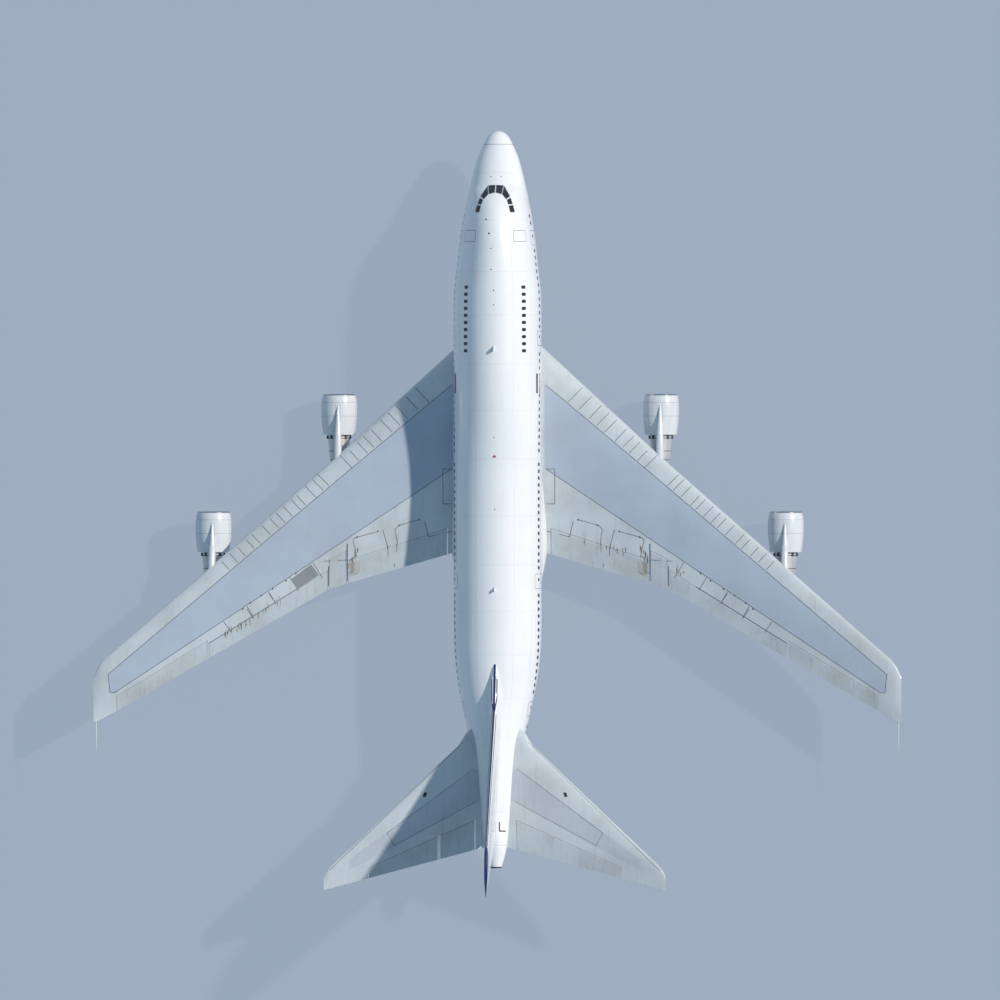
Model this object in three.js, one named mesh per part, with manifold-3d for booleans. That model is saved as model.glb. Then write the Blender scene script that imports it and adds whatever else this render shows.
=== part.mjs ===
import * as THREE from 'three';
import { mergeVertices } from 'three/addons/utils/BufferGeometryUtils.js';
import Module from 'manifold-3d';

// Four-engined wide-body airliner with a short body, a half-scale model parked on its gear.
// Millimetres, +Z up, nose towards -Y, port wing towards +X, tyres standing on Z = 0.
// The tables below are in full-size metres: lateral from the centreline, station aft of
// the nose tip, height above the ground.
const METRE = 500;
const LENGTH = 56.31;
const JOINT_GAP = 0.001;
const HULL_SIDES = 28;

// Fuselage frames: station, half width, height of the widest line, belly, crown.
const HULL_FRAMES = [
  [0.00, 0.12, 4.35, 4.23, 4.47],
  [0.15, 0.50, 4.35, 3.88, 4.85],
  [0.45, 0.78, 4.38, 3.58, 5.12],
  [1.00, 1.08, 4.45, 3.22, 5.48],
  [1.77, 1.44, 4.55, 2.88, 5.95],
  [2.65, 1.72, 4.65, 2.62, 6.45],
  [3.54, 1.94, 4.75, 2.43, 6.98],
  [4.05, 2.06, 4.80, 2.35, 7.35],
  [4.60, 2.19, 4.86, 2.28, 8.15],
  [5.31, 2.32, 4.92, 2.18, 8.85],
  [6.19, 2.50, 5.00, 2.10, 9.33],
  [7.08, 2.65, 5.07, 2.05, 9.62],
  [8.40, 2.83, 5.15, 2.02, 9.80],
  [10.0, 2.99, 5.22, 2.00, 9.85],
  [12.4, 3.23, 5.25, 2.00, 9.85],
  [17.0, 3.25, 5.25, 2.00, 9.85],
  [19.0, 3.25, 5.25, 2.00, 9.70],
  [21.0, 3.25, 5.25, 2.00, 9.42],
  [23.0, 3.25, 5.25, 2.00, 9.08],
  [25.0, 3.25, 5.25, 2.00, 8.84],
  [27.0, 3.25, 5.25, 2.00, 8.76],
  [35.5, 3.25, 5.25, 2.00, 8.75],
  [37.7, 3.22, 5.30, 2.08, 8.75],
  [39.5, 3.08, 5.42, 2.32, 8.75],
  [41.2, 2.82, 5.62, 2.72, 8.74],
  [43.0, 2.44, 5.88, 3.24, 8.70],
  [45.0, 2.00, 6.18, 3.90, 8.62],
  [47.2, 1.68, 6.50, 4.62, 8.50],
  [49.4, 1.36, 6.80, 5.32, 8.34],
  [51.2, 1.08, 7.02, 5.92, 8.17],
  [52.65, 0.84, 7.18, 6.38, 8.02],
  [53.7, 0.60, 7.30, 6.74, 7.86],
  [54.35, 0.40, 7.36, 6.96, 7.76],
];
const RADOME_END = 1.00;
const TAIL_CONE_START = 52.65;

// Belly fairing round the wing roots, in the same columns.
const FAIRING_FRAMES = [
  [12.6, 1.20, 2.60, 2.05, 3.10],
  [15.0, 2.60, 2.80, 1.90, 3.70],
  [17.5, 3.45, 3.00, 1.80, 4.30],
  [21.0, 3.60, 3.00, 1.75, 4.40],
  [27.0, 3.60, 3.00, 1.75, 4.40],
  [30.5, 3.55, 3.00, 1.75, 4.30],
  [32.8, 3.20, 2.95, 1.82, 4.00],
  [34.6, 2.30, 2.80, 1.93, 3.40],
  [35.6, 1.20, 2.75, 2.10, 3.20],
];

// Wing ribs: lateral, leading edge, trailing edge, height of the chord plane, thickness.
const WING_RIBS = [
  [2.20, 15.05, 30.76, 2.90, 2.00],
  [3.38, 16.10, 31.10, 3.01, 1.92],
  [12.35, 24.36, 33.70, 3.93, 1.00],
  [29.00, 38.93, 43.26, 5.64, 0.36],
  [29.50, 39.55, 43.50, 5.69, 0.28],
  [29.82, 40.30, 43.60, 5.72, 0.12],
];
const TAIL_RIBS = [
  [0.60, 43.00, 52.73, 7.30, 0.95],
  [2.20, 44.40, 53.16, 7.50, 0.90],
  [2.75, 45.30, 53.31, 7.57, 0.84],
  [12.00, 54.03, 55.77, 8.72, 0.20],
  [12.40, 54.50, 55.88, 8.77, 0.14],
  [12.61, 55.00, 55.93, 8.80, 0.07],
];
// Fin ribs: height, leading edge, trailing edge, zero, thickness.
const FIN_RIBS = [
  [8.20, 38.20, 52.12, 0, 0.90],
  [8.80, 39.40, 52.34, 0, 0.90],
  [9.70, 42.60, 52.66, 0, 0.80],
  [19.45, 52.75, 56.17, 0, 0.30],
  [19.94, 53.90, 56.31, 0, 0.10],
];
const CHORD_STEPS = [0, 0.01, 0.04, 0.11, 0.24, 0.42, 0.62, 0.80, 1];
const EDGE_HALF = 0.012;

// Moving surfaces: inner and outer end, hinge station at each, and the gap at each end.
const FLAP_INNER = { ends: [3.80, 11.16], hinge: [29.40, 31.75], gaps: [0.07, 0.07] };
const AILERON_INNER = { ends: [11.21, 12.53], hinge: [31.05, 31.70], gaps: [0.075, 0.075] };
const FLAP_OUTER = { ends: [12.59, 21.37], hinge: [32.48, 37.90], gaps: [0.075, 0.07] };
const AILERON_OUTER = { ends: [21.44, 28.15], hinge: [37.66, 41.76], gaps: [0.06, 0.05] };
const ELEVATOR_INNER = { ends: [1.50, 4.14], hinge: [50.88, 52.03], gaps: [0.065, 0.06] };
const ELEVATOR_OUTER = { ends: [4.21, 9.36], hinge: [52.08, 54.35], gaps: [0.06, 0.05] };
const RUDDER_LOWER = { ends: [9.00, 13.94], hinge: [49.45, 52.15], gaps: [0.09, 0.08] };
const RUDDER_UPPER = { ends: [14.01, 19.25], hinge: [52.18, 55.07], gaps: [0.075, 0.05] };
const NOSE_GAP = 0.026;

// Engines: lateral place, lip station and centreline height.
const ENGINES = {
  inboard: { lateral: 11.90, lip: 19.40, height: 2.13, wing: 3.88 },
  outboard: { lateral: 21.15, lip: 28.06, height: 2.85, wing: 4.83 },
};
const ENGINE_SIDES = 20;
const COWL_PROFILE = [
  [1.19, 0.00], [1.28, 0.16], [1.33, 0.75], [1.33, 1.60], [1.24, 3.00],
  [1.19, 3.00], [1.20, 2.20], [1.16, 1.30], [1.14, 0.60], [1.12, 0.12],
];
const CORE_PROFILE = [
  [0, 1.35], [1.155, 1.35], [1.155, 1.50], [0.80, 1.50], [0.85, 2.40], [0.83, 3.20],
  [0.62, 4.90], [0.58, 5.20], [0.32, 5.20], [0.12, 5.85], [0, 5.90],
];
const FAN_PROFILE = [
  [0, 0.50], [0.20, 0.68], [0.36, 0.95], [1.12, 0.95], [1.12, 1.14], [0.30, 1.14],
  [0.30, 1.34], [0, 1.34],
];
// Pylon frames: distance behind the lip, half width, then the foot and the top, each as
// [share of the way from engine centreline to wing, metres above that point].
const PYLON_FRAMES = [
  [0.80, 0.03, [0, 1.05], [0, 1.30]],
  [1.40, 0.10, [0, 1.00], [0, 1.48]],
  [2.20, 0.18, [0, 0.90], [0, 1.66]],
  [3.00, 0.24, [0, 0.50], [0.5, 0.92]],
  [4.40, 0.27, [0, 0.50], [1, 0.16]],
  [5.60, 0.27, [0, 0.50], [1, 0.22]],
  [7.40, 0.16, [0.6, 0.10], [1, 0.05]],
  [8.90, 0.04, [1, -0.60], [1, -0.10]],
];

// Landing gear: axle height is the loaded tyre radius.
const AXLE_HEIGHT = 0.62;
const WHEEL_SIDES = 16;
const AXLE_RADIUS = 0.09;
const BEARING_RADIUS = 0.099;
const BARREL_RADIUS = 0.17;
const TYRE_HALF_WIDTH = 0.215;
const NOSE_GEAR_STATION = 7.60;
const NOSE_TWIN_HALF = 0.455;
const MAIN_TWIN_HALF = 0.56;
const BOGIE_HALF_LENGTH = 0.735;
const WING_GEAR = { lateral: 5.50, station: 26.55 };
const BODY_GEAR = { lateral: 1.92, station: 29.63 };
const BODY_LEG_BOTTOM = 1.21;

// Lower cargo doors on the starboard side: station of the middle, and their common size.
const CARGO_DOORS = { forward: 12.30, aft: 36.90 };
const CARGO_LENGTH = 2.64;
const CARGO_HEIGHT = 1.68;
const CARGO_LEAN = 0.52;
const CARGO_INNER = 2.97;
const CARGO_CENTRE_HEIGHT = 5.25;
const CARGO_GAP = 0.022;

const PAINT_WHITE = 0xe9ebec;
const WING_GREY = 0x9ea8ac;
const FIN_BLUE = 0x1b2a4a;
const METAL_DARK = 0x4a4d52;
const METAL_BRIGHT = 0xb9bcc0;
const TYRE_BLACK = 0x1c1c1e;

const wasm = await Module();
wasm.setup();

const airliner = new THREE.Group();
airliner.name = 'airliner';

function place(lateral, station, height) {
  return new THREE.Vector3(lateral * METRE, (station - LENGTH / 2) * METRE, height * METRE);
}

// Signed volume tells whether the faces look outwards.
function facingOut(geometry) {
  const at = geometry.attributes.position;
  const index = geometry.index.array;
  const a = new THREE.Vector3();
  const b = new THREE.Vector3();
  const c = new THREE.Vector3();
  let volume = 0;
  for (let i = 0; i < index.length; i += 3) {
    a.fromBufferAttribute(at, index[i]);
    b.fromBufferAttribute(at, index[i + 1]);
    c.fromBufferAttribute(at, index[i + 2]);
    volume += a.dot(b.cross(c));
  }
  if (volume < 0) {
    for (let i = 0; i < index.length; i += 3) {
      const kept = index[i];
      index[i] = index[i + 1];
      index[i + 1] = kept;
    }
  }
  return geometry;
}

// Triangles of one flat end, wound the same way as the ring itself.
function endCap(ring) {
  const normal = new THREE.Vector3();
  ring.forEach((p, i) => normal.add(new THREE.Vector3().crossVectors(p, ring[(i + 1) % ring.length])));
  const ax = Math.abs(normal.x);
  const ay = Math.abs(normal.y);
  const az = Math.abs(normal.z);
  const flat = ring.map((p) => {
    if (ax >= ay && ax >= az) return new THREE.Vector2(p.y, p.z);
    if (ay >= az) return new THREE.Vector2(p.z, p.x);
    return new THREE.Vector2(p.x, p.y);
  });
  const turn = Math.sign(THREE.ShapeUtils.area(flat));
  return THREE.ShapeUtils.triangulateShape(flat, []).map((face) => {
    const side = Math.sign(THREE.ShapeUtils.area(face.map((i) => flat[i])));
    return side === turn ? face : [face[0], face[2], face[1]];
  });
}

// A closed skin through rings of equal point count, with flat ends. The split of each
// four-sided facet is mirrored about the centreline, so both sides of the object match.
function loft(rings) {
  const count = rings[0].length;
  const points = rings.flat();
  const index = [];
  for (let r = 0; r + 1 < rings.length; r += 1) {
    for (let i = 0; i < count; i += 1) {
      const a = r * count + i;
      const b = r * count + ((i + 1) % count);
      const port = points[a].x + points[b].x + points[a + count].x + points[b + count].x >= 0;
      if (port) index.push(a, b, b + count, a, b + count, a + count);
      else index.push(a, b, a + count, b, b + count, a + count);
    }
  }
  const last = (rings.length - 1) * count;
  endCap(rings[0]).forEach(([a, b, c]) => index.push(a, c, b));
  endCap(rings[rings.length - 1]).forEach(([a, b, c]) => index.push(last + a, last + b, last + c));
  const geometry = new THREE.BufferGeometry();
  const flat = points.flatMap((p) => [p.x, p.y, p.z]);
  geometry.setAttribute('position', new THREE.Float32BufferAttribute(flat, 3));
  geometry.setIndex(index);
  return facingOut(geometry);
}

function toSolid(geometry) {
  const bare = geometry.clone();
  bare.deleteAttribute('normal');
  bare.deleteAttribute('uv');
  const merged = mergeVertices(bare, 0.001);
  const mesh = new wasm.Mesh({
    numProp: 3,
    vertProperties: new Float32Array(merged.attributes.position.array),
    triVerts: new Uint32Array(merged.index.array),
  });
  return new wasm.Manifold(mesh);
}

function toGeometry(solid) {
  const mesh = solid.getMesh();
  const geometry = new THREE.BufferGeometry();
  geometry.setAttribute('position', new THREE.BufferAttribute(new Float32Array(mesh.vertProperties), 3));
  geometry.setIndex(Array.from(mesh.triVerts));
  return geometry;
}

function addPiece(name, geometry, color, metalness, roughness) {
  const shaded = geometry.index ? geometry.toNonIndexed() : geometry;
  shaded.computeVertexNormals();
  const material = new THREE.MeshStandardMaterial({ color, metalness, roughness });
  const mesh = new THREE.Mesh(shaded, material);
  mesh.name = name;
  airliner.add(mesh);
}

function mirrored(geometry) {
  const other = geometry.clone();
  other.scale(-1, 1, 1);
  return facingOut(other);
}

// The port piece and its starboard mirror image.
function addPair(name, solid, color, metalness, roughness) {
  const geometry = toGeometry(solid);
  addPiece(`${name}_left`, geometry, color, metalness, roughness);
  addPiece(`${name}_right`, mirrored(geometry), color, metalness, roughness);
}

function block(low, high) {
  const size = new THREE.Vector3().subVectors(high, low);
  const centre = new THREE.Vector3().addVectors(high, low).multiplyScalar(0.5);
  const geometry = new THREE.BoxGeometry(size.x, size.y, size.z);
  geometry.translate(centre.x, centre.y, centre.z);
  return toSolid(geometry);
}

// A round bar between two points.
function bar(from, to, radius, sides) {
  const along = new THREE.Vector3().subVectors(to, from);
  const geometry = new THREE.CylinderGeometry(radius * METRE, radius * METRE, along.length(), sides);
  geometry.translate(0, along.length() / 2, 0);
  const turn = new THREE.Quaternion().setFromUnitVectors(new THREE.Vector3(0, 1, 0), along.normalize());
  geometry.applyQuaternion(turn);
  geometry.translate(from.x, from.y, from.z);
  return toSolid(geometry);
}

// Bodies of the hull family: each frame is two half ellipses meeting at the widest line.
function hullRing(frame, grow) {
  const [station, half, wide, low, high] = frame;
  const ring = [];
  for (let i = 0; i < HULL_SIDES; i += 1) {
    const angle = ((i + 0.5) / HULL_SIDES) * Math.PI * 2;
    const rise = Math.sin(angle) > 0 ? high - wide : wide - low;
    const x = (half + grow) * Math.cos(angle);
    const z = wide + (rise + grow) * Math.sin(angle);
    ring.push(place(x, station, z));
  }
  return ring;
}

function hull(frames, grow) {
  return loft(frames.map((frame) => hullRing(frame, grow)));
}

// The frames between two stations, with the cut frame set back by half the joint gap.
function hullPart(from, to) {
  const frames = HULL_FRAMES.filter((f) => f[0] >= from && f[0] <= to).map((f) => [...f]);
  if (from > 0) frames[0][0] += JOINT_GAP / 2;
  if (to < LENGTH) frames[frames.length - 1][0] -= JOINT_GAP / 2;
  return hull(frames, 0);
}

// Half thickness of the symmetric section at a fraction of the chord, for unit thickness.
function sectionHalf(u) {
  const root = 0.2969 * Math.sqrt(u);
  return 5 * (root - 0.126 * u - 0.3516 * u ** 2 + 0.2843 * u ** 3 - 0.1036 * u ** 4);
}

function between(table, at) {
  let i = 0;
  while (i < table.length - 2 && table[i + 1][0] < at) i += 1;
  const part = (at - table[i][0]) / (table[i + 1][0] - table[i][0]);
  return table[i].map((value, k) => value + (table[i + 1][k] - value) * part);
}

function halfThickness(rib, station) {
  const u = (station - rib[1]) / (rib[2] - rib[1]);
  return sectionHalf(u) * rib[4] + EDGE_HALF * u;
}

// Wing-like skin: upper side from tail to nose, then the lower side back.
function aerofoil(ribs, upright, grow) {
  const rings = ribs.map((given, which) => {
    const rib = [...given];
    if (which === 0) rib[0] -= grow;
    if (which === ribs.length - 1) rib[0] += grow;
    const point = (u, side) => {
      const station = rib[1] - grow + (rib[2] - rib[1] + 2 * grow) * u;
      const half = side * (sectionHalf(u) * rib[4] + EDGE_HALF * u + grow);
      return upright ? place(half, station, rib[0]) : place(rib[0], station, rib[3] + half);
    };
    const upper = [...CHORD_STEPS].reverse().map((u) => point(u, 1));
    const lower = CHORD_STEPS.map((u) => point(u, -1));
    return grow > 0 ? [...upper, ...lower] : [...upper, ...lower.slice(1)];
  });
  return toSolid(loft(rings));
}

// A moving surface has a round nose about its hinge and straight sides to a thin edge.
// The bay it moves in is the same shape grown by the nose gap and open at the back.
function surface(ribs, data, upright) {
  const ribAt = data.ends.map((end) => between(ribs, end));
  const hinge = data.ends.map((end, i) => {
    const rib = ribAt[i];
    return upright ? place(0, data.hinge[i], end) : place(end, data.hinge[i], rib[3]);
  });
  const edge = data.ends.map((end, i) => {
    const rib = ribAt[i];
    return upright ? place(0, rib[2], end) : place(end, rib[2], rib[3]);
  });
  const radius = ribAt.map((rib, i) => halfThickness(rib, data.hinge[i]) * METRE);
  const axis = new THREE.Vector3().subVectors(hinge[1], hinge[0]);
  const span = axis.length();
  axis.normalize();
  const aft = new THREE.Vector3().subVectors(edge[0], hinge[0]);
  aft.addScaledVector(axis, -aft.dot(axis)).normalize();
  const up = new THREE.Vector3().crossVectors(aft, axis);
  const local = edge.map((p) => {
    const from = new THREE.Vector3().subVectors(p, hinge[0]);
    return [from.dot(axis), from.dot(aft)];
  });
  const slope = (local[1][1] - local[0][1]) / (local[1][0] - local[0][0]);
  const reach = local[0][1];
  const ring = (along, bay) => {
    const nose = radius[0] + ((radius[1] - radius[0]) * along) / span + (bay ? NOSE_GAP * METRE : 0);
    const chord = local[0][1] + slope * (along - local[0][0]) + (bay ? METRE : 0);
    const tail = bay ? nose : EDGE_HALF * METRE;
    const points = [];
    for (let i = 0; i <= 8; i += 1) {
      const angle = Math.PI / 2 + (i / 8) * Math.PI;
      points.push([nose * Math.cos(angle), nose * Math.sin(angle)]);
    }
    points.push([chord, -tail], [chord, tail]);
    return points.map(([b, n]) => new THREE.Vector3()
      .copy(hinge[0])
      .addScaledVector(axis, along)
      .addScaledVector(aft, b)
      .addScaledVector(up, n));
  };
  const whole = (bay) => toSolid(loft([ring(-reach, bay), ring(span + reach, bay)]));
  const slice = (low, high) => {
    const from = upright ? new THREE.Vector3(-4000, -20000, low * METRE) : place(low, -10, -10);
    const to = upright ? new THREE.Vector3(4000, 20000, high * METRE) : place(high, 80, 30);
    return block(from, to);
  };
  const [low, high] = data.ends;
  return {
    piece: whole(false).intersect(slice(low + data.gaps[0], high - data.gaps[1])),
    bay: whole(true).intersect(slice(low, high)),
  };
}

// Turned parts: radius and distance along the engine or axle.
function turned(profile, sides, start) {
  const points = profile.map(([r, y]) => new THREE.Vector2(r * METRE, y * METRE));
  const onAxis = profile[0][0] === 0;
  if (!onAxis) points.push(points[0].clone());
  const geometry = new THREE.LatheGeometry(points, sides, start);
  geometry.deleteAttribute('normal');
  geometry.deleteAttribute('uv');
  return facingOut(dropFlat(mergeVertices(geometry, 0.001)));
}

function dropFlat(geometry) {
  const index = geometry.index.array;
  const kept = [];
  for (let i = 0; i < index.length; i += 3) {
    const [a, b, c] = [index[i], index[i + 1], index[i + 2]];
    if (a !== b && b !== c && c !== a) kept.push(a, b, c);
  }
  geometry.setIndex(kept);
  return geometry;
}

// Hull, radome and tail cone.
const hullFull = toSolid(hull(HULL_FRAMES, JOINT_GAP));
addPiece('radome', hullPart(0, RADOME_END), PAINT_WHITE, 0, 0.4);
addPiece('tail_cone', hullPart(TAIL_CONE_START, 60), METAL_BRIGHT, 0.6, 0.4);

// Jacking pads are short round feet with flat undersides.
const nosePad = bar(place(0, 10.2, 1.95), place(0, 10.2, 2.4), 0.14, 16);
const tailPad = bar(place(0, 40.6, 2.46), place(0, 40.6, 3.0), 0.14, 16);
let hullBody = toSolid(hullPart(RADOME_END, TAIL_CONE_START)).add(nosePad).add(tailPad);

// A cargo door is the slice of the hull inside a leaning block; the opening is a little larger.
function cargoBlock(station, grow) {
  const depth = 2 * METRE;
  const length = (CARGO_LENGTH + 2 * grow) * METRE;
  const height = (CARGO_HEIGHT + 2 * grow) * METRE;
  const geometry = new THREE.BoxGeometry(depth, length, height);
  geometry.translate(-(CARGO_INNER - grow) * METRE - depth / 2, 0, 0);
  geometry.rotateY(-CARGO_LEAN);
  return toSolid(moved(geometry, place(0, station, CARGO_CENTRE_HEIGHT)));
}

for (const [name, station] of Object.entries(CARGO_DOORS)) {
  const door = toSolid(hullPart(RADOME_END, TAIL_CONE_START)).intersect(cargoBlock(station, 0));
  hullBody = hullBody.subtract(cargoBlock(station, CARGO_GAP));
  addPiece(`cargo_door_${name}`, toGeometry(door), PAINT_WHITE, 0, 0.4);
}
addPiece('fuselage', toGeometry(hullBody), PAINT_WHITE, 0, 0.4);

// Wings with bays for four moving surfaces, a jacking pad and the tip probe.
const wingSkin = aerofoil(WING_RIBS, false, 0);
const wingGrown = aerofoil(WING_RIBS, false, JOINT_GAP);
const flapInner = surface(WING_RIBS, FLAP_INNER, false);
const aileronInner = surface(WING_RIBS, AILERON_INNER, false);
const flapOuter = surface(WING_RIBS, FLAP_OUTER, false);
const aileronOuter = surface(WING_RIBS, AILERON_OUTER, false);
const wingPad = bar(place(7.9, 28.3, 2.88), place(7.9, 28.3, 3.4), 0.14, 16);
const tipProbe = bar(place(29.62, 43.2, 5.7), place(29.62, 46.1, 5.7), 0.05, 10);
const wing = wingSkin
  .subtract(hullFull)
  .subtract(flapInner.bay)
  .subtract(aileronInner.bay)
  .subtract(flapOuter.bay)
  .subtract(aileronOuter.bay)
  .add(wingPad)
  .add(tipProbe);
addPair('wing', wing, WING_GREY, 0.1, 0.5);
addPair('flap_inboard', flapInner.piece, WING_GREY, 0.1, 0.5);
addPair('aileron_inboard', aileronInner.piece, WING_GREY, 0.1, 0.5);
addPair('flap_outboard', flapOuter.piece, WING_GREY, 0.1, 0.5);
addPair('aileron_outboard', aileronOuter.piece, WING_GREY, 0.1, 0.5);

// Belly fairing, cut round the hull and both wing roots.
const wingGrownOther = toSolid(mirrored(toGeometry(wingGrown)));
const fairing = toSolid(hull(FAIRING_FRAMES, 0))
  .subtract(hullFull)
  .subtract(wingGrown)
  .subtract(wingGrownOther);
addPiece('wing_body_fairing', toGeometry(fairing), PAINT_WHITE, 0, 0.45);

// Tailplane with inner and outer elevators.
const elevatorInner = surface(TAIL_RIBS, ELEVATOR_INNER, false);
const elevatorOuter = surface(TAIL_RIBS, ELEVATOR_OUTER, false);
const tailplane = aerofoil(TAIL_RIBS, false, 0)
  .subtract(hullFull)
  .subtract(elevatorInner.bay)
  .subtract(elevatorOuter.bay);
addPair('stabilizer', tailplane, WING_GREY, 0.1, 0.5);
addPair('elevator_inboard', elevatorInner.piece, WING_GREY, 0.1, 0.5);
addPair('elevator_outboard', elevatorOuter.piece, WING_GREY, 0.1, 0.5);

// Fin with lower and upper rudders.
const rudderLower = surface(FIN_RIBS, RUDDER_LOWER, true);
const rudderUpper = surface(FIN_RIBS, RUDDER_UPPER, true);
const fin = aerofoil(FIN_RIBS, true, 0)
  .subtract(hullFull)
  .subtract(rudderLower.bay)
  .subtract(rudderUpper.bay);
addPiece('fin', toGeometry(fin), FIN_BLUE, 0, 0.4);
addPiece('rudder_lower', toGeometry(rudderLower.piece), FIN_BLUE, 0, 0.4);
addPiece('rudder_upper', toGeometry(rudderUpper.piece), FIN_BLUE, 0, 0.4);

// Four engines: open cowl, fan on its shaft, core with its nozzle, and the pylon above.
const outline = [[0, 0], ...COWL_PROFILE.slice(0, 5), [0, 3.0]];
for (const [name, engine] of Object.entries(ENGINES)) {
  const shift = (geometry) => {
    const spot = place(engine.lateral, engine.lip, engine.height);
    return geometry.translate(spot.x, spot.y, spot.z);
  };
  const half = Math.PI / ENGINE_SIDES;
  const cowl = toSolid(shift(turned(COWL_PROFILE, ENGINE_SIDES, half)));
  const core = toSolid(shift(turned(CORE_PROFILE, ENGINE_SIDES, half)));
  const fan = toSolid(shift(turned(FAN_PROFILE, ENGINE_SIDES, half)));
  const grown = (profile) => profile.map(([r, y]) => [r > 0 ? r + JOINT_GAP : 0, y]);
  const cowlFilled = toSolid(shift(turned(grown(outline), ENGINE_SIDES, half)));
  const coreGrown = toSolid(shift(turned(grown(CORE_PROFILE), ENGINE_SIDES, half)));
  const level = ([share, rise]) => engine.height + (engine.wing - engine.height) * share + rise;
  const pylonRing = ([back, half, foot, top]) => [
    [half, level(foot)], [half, level(top) - 0.10], [half * 0.4, level(top)],
    [-half * 0.4, level(top)], [-half, level(top) - 0.10], [-half, level(foot)],
  ].map(([x, z]) => place(engine.lateral + x, engine.lip + back, z));
  const pylon = toSolid(loft(PYLON_FRAMES.map(pylonRing)))
    .subtract(wingGrown)
    .subtract(cowlFilled)
    .subtract(coreGrown);
  addPair(`nacelle_${name}`, cowl, PAINT_WHITE, 0.1, 0.4);
  addPair(`engine_core_${name}`, core, METAL_DARK, 0.8, 0.4);
  addPair(`fan_${name}`, fan, METAL_BRIGHT, 0.8, 0.35);
  addPair(`pylon_${name}`, pylon, PAINT_WHITE, 0, 0.4);
}

// Twin wheels are one body: tyre, hub, axle, hub, tyre, turned about the axle.
function twinWheels(twinHalf) {
  const rim = AXLE_HEIGHT / Math.cos(Math.PI / WHEEL_SIDES);
  const inner = twinHalf - TYRE_HALF_WIDTH;
  const outer = twinHalf + TYRE_HALF_WIDTH;
  const side = [
    [AXLE_RADIUS, inner], [0.50, inner], [rim, inner + 0.09], [rim, outer - 0.09],
    [0.50, outer], [0.26, outer - 0.04], [0, outer - 0.04],
  ];
  const other = side.map(([r, x]) => [r, -x]).reverse();
  const geometry = turned([...other, ...side], WHEEL_SIDES, Math.PI / WHEEL_SIDES);
  geometry.rotateZ(-Math.PI / 2);
  return geometry;
}

// A barrel round each axle, joined by a beam, seen from the side and pushed out sideways.
function axleCarrier(stations, halfWidth) {
  const outlinePoints = [];
  const first = stations[0];
  const last = stations[stations.length - 1];
  for (let i = 0; i <= 8; i += 1) {
    const angle = Math.PI / 2 + (i / 8) * Math.PI;
    outlinePoints.push([first + BARREL_RADIUS * Math.cos(angle), BARREL_RADIUS * Math.sin(angle)]);
  }
  for (let i = 0; i <= 8; i += 1) {
    const angle = -Math.PI / 2 + (i / 8) * Math.PI;
    outlinePoints.push([last + BARREL_RADIUS * Math.cos(angle), BARREL_RADIUS * Math.sin(angle)]);
  }
  const scaled = outlinePoints.map(([y, z]) => new THREE.Vector2(y * METRE, z * METRE));
  const shape = new THREE.Shape(scaled);
  for (const station of stations) {
    const hole = [];
    for (let i = 0; i < 16; i += 1) {
      const angle = ((i + 0.5) / 16) * Math.PI * 2;
      const y = station + BEARING_RADIUS * Math.cos(angle);
      hole.push(new THREE.Vector2(y * METRE, BEARING_RADIUS * Math.sin(angle) * METRE));
    }
    shape.holes.push(new THREE.Path(hole));
  }
  const depth = 2 * halfWidth * METRE;
  const geometry = new THREE.ExtrudeGeometry(shape, { depth, bevelEnabled: false, curveSegments: 1 });
  geometry.translate(0, 0, -depth / 2);
  geometry.applyMatrix4(new THREE.Matrix4().set(0, 0, 1, 0, 1, 0, 0, 0, 0, 1, 0, 0, 0, 0, 0, 1));
  return geometry;
}

function moved(geometry, spot) {
  return geometry.translate(spot.x, spot.y, spot.z);
}

// Nose gear: fixed leg with its drag brace, steered fork with the towing lug, twin wheels.
const noseAt = place(0, NOSE_GEAR_STATION, AXLE_HEIGHT);
const noseLeg = bar(place(0, NOSE_GEAR_STATION, 1.37), place(0, NOSE_GEAR_STATION, 2.6), 0.16, 16)
  .add(bar(place(0, NOSE_GEAR_STATION, 1.7), place(0, NOSE_GEAR_STATION - 1.3, 2.6), 0.08, 10))
  .subtract(hullFull);
const towLug = block(
  place(-0.09, NOSE_GEAR_STATION - 0.34, AXLE_HEIGHT - 0.07),
  place(0.09, NOSE_GEAR_STATION - 0.13, AXLE_HEIGHT + 0.07),
);
const noseFork = toSolid(moved(axleCarrier([0], 0.19), noseAt))
  .add(bar(place(0, NOSE_GEAR_STATION, 0.75), place(0, NOSE_GEAR_STATION, 1.36), 0.12, 16))
  .add(towLug);
const noseDoor = block(
  place(0.40, NOSE_GEAR_STATION - 0.75, 1.42),
  place(0.44, NOSE_GEAR_STATION + 1.15, 2.6),
).subtract(hullFull);
addPair('nose_gear_door', noseDoor, PAINT_WHITE, 0, 0.4);
addPiece('nose_gear_leg', toGeometry(noseLeg), METAL_BRIGHT, 0.6, 0.4);
addPiece('nose_gear_fork', toGeometry(noseFork), METAL_BRIGHT, 0.6, 0.4);
addPiece('nose_wheels', moved(twinWheels(NOSE_TWIN_HALF), noseAt), TYRE_BLACK, 0, 0.9);

// Wing gear: one strut and its four-wheel bogie beam under each wing.
const bogieStations = [-BOGIE_HALF_LENGTH, BOGIE_HALF_LENGTH];
const wingGearAt = place(WING_GEAR.lateral, WING_GEAR.station, AXLE_HEIGHT);
const wingLeg = bar(
  place(WING_GEAR.lateral, WING_GEAR.station, 0.70),
  place(WING_GEAR.lateral, WING_GEAR.station, 3.2),
  0.20,
  16,
)
  .add(bar(place(4.15, WING_GEAR.station, 2.9), place(WING_GEAR.lateral, WING_GEAR.station, 1.75), 0.09, 10))
  .subtract(wingGrown)
  .add(toSolid(moved(axleCarrier(bogieStations, 0.17), wingGearAt)));
addPair('wing_gear_leg', wingLeg, METAL_BRIGHT, 0.6, 0.4);

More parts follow.
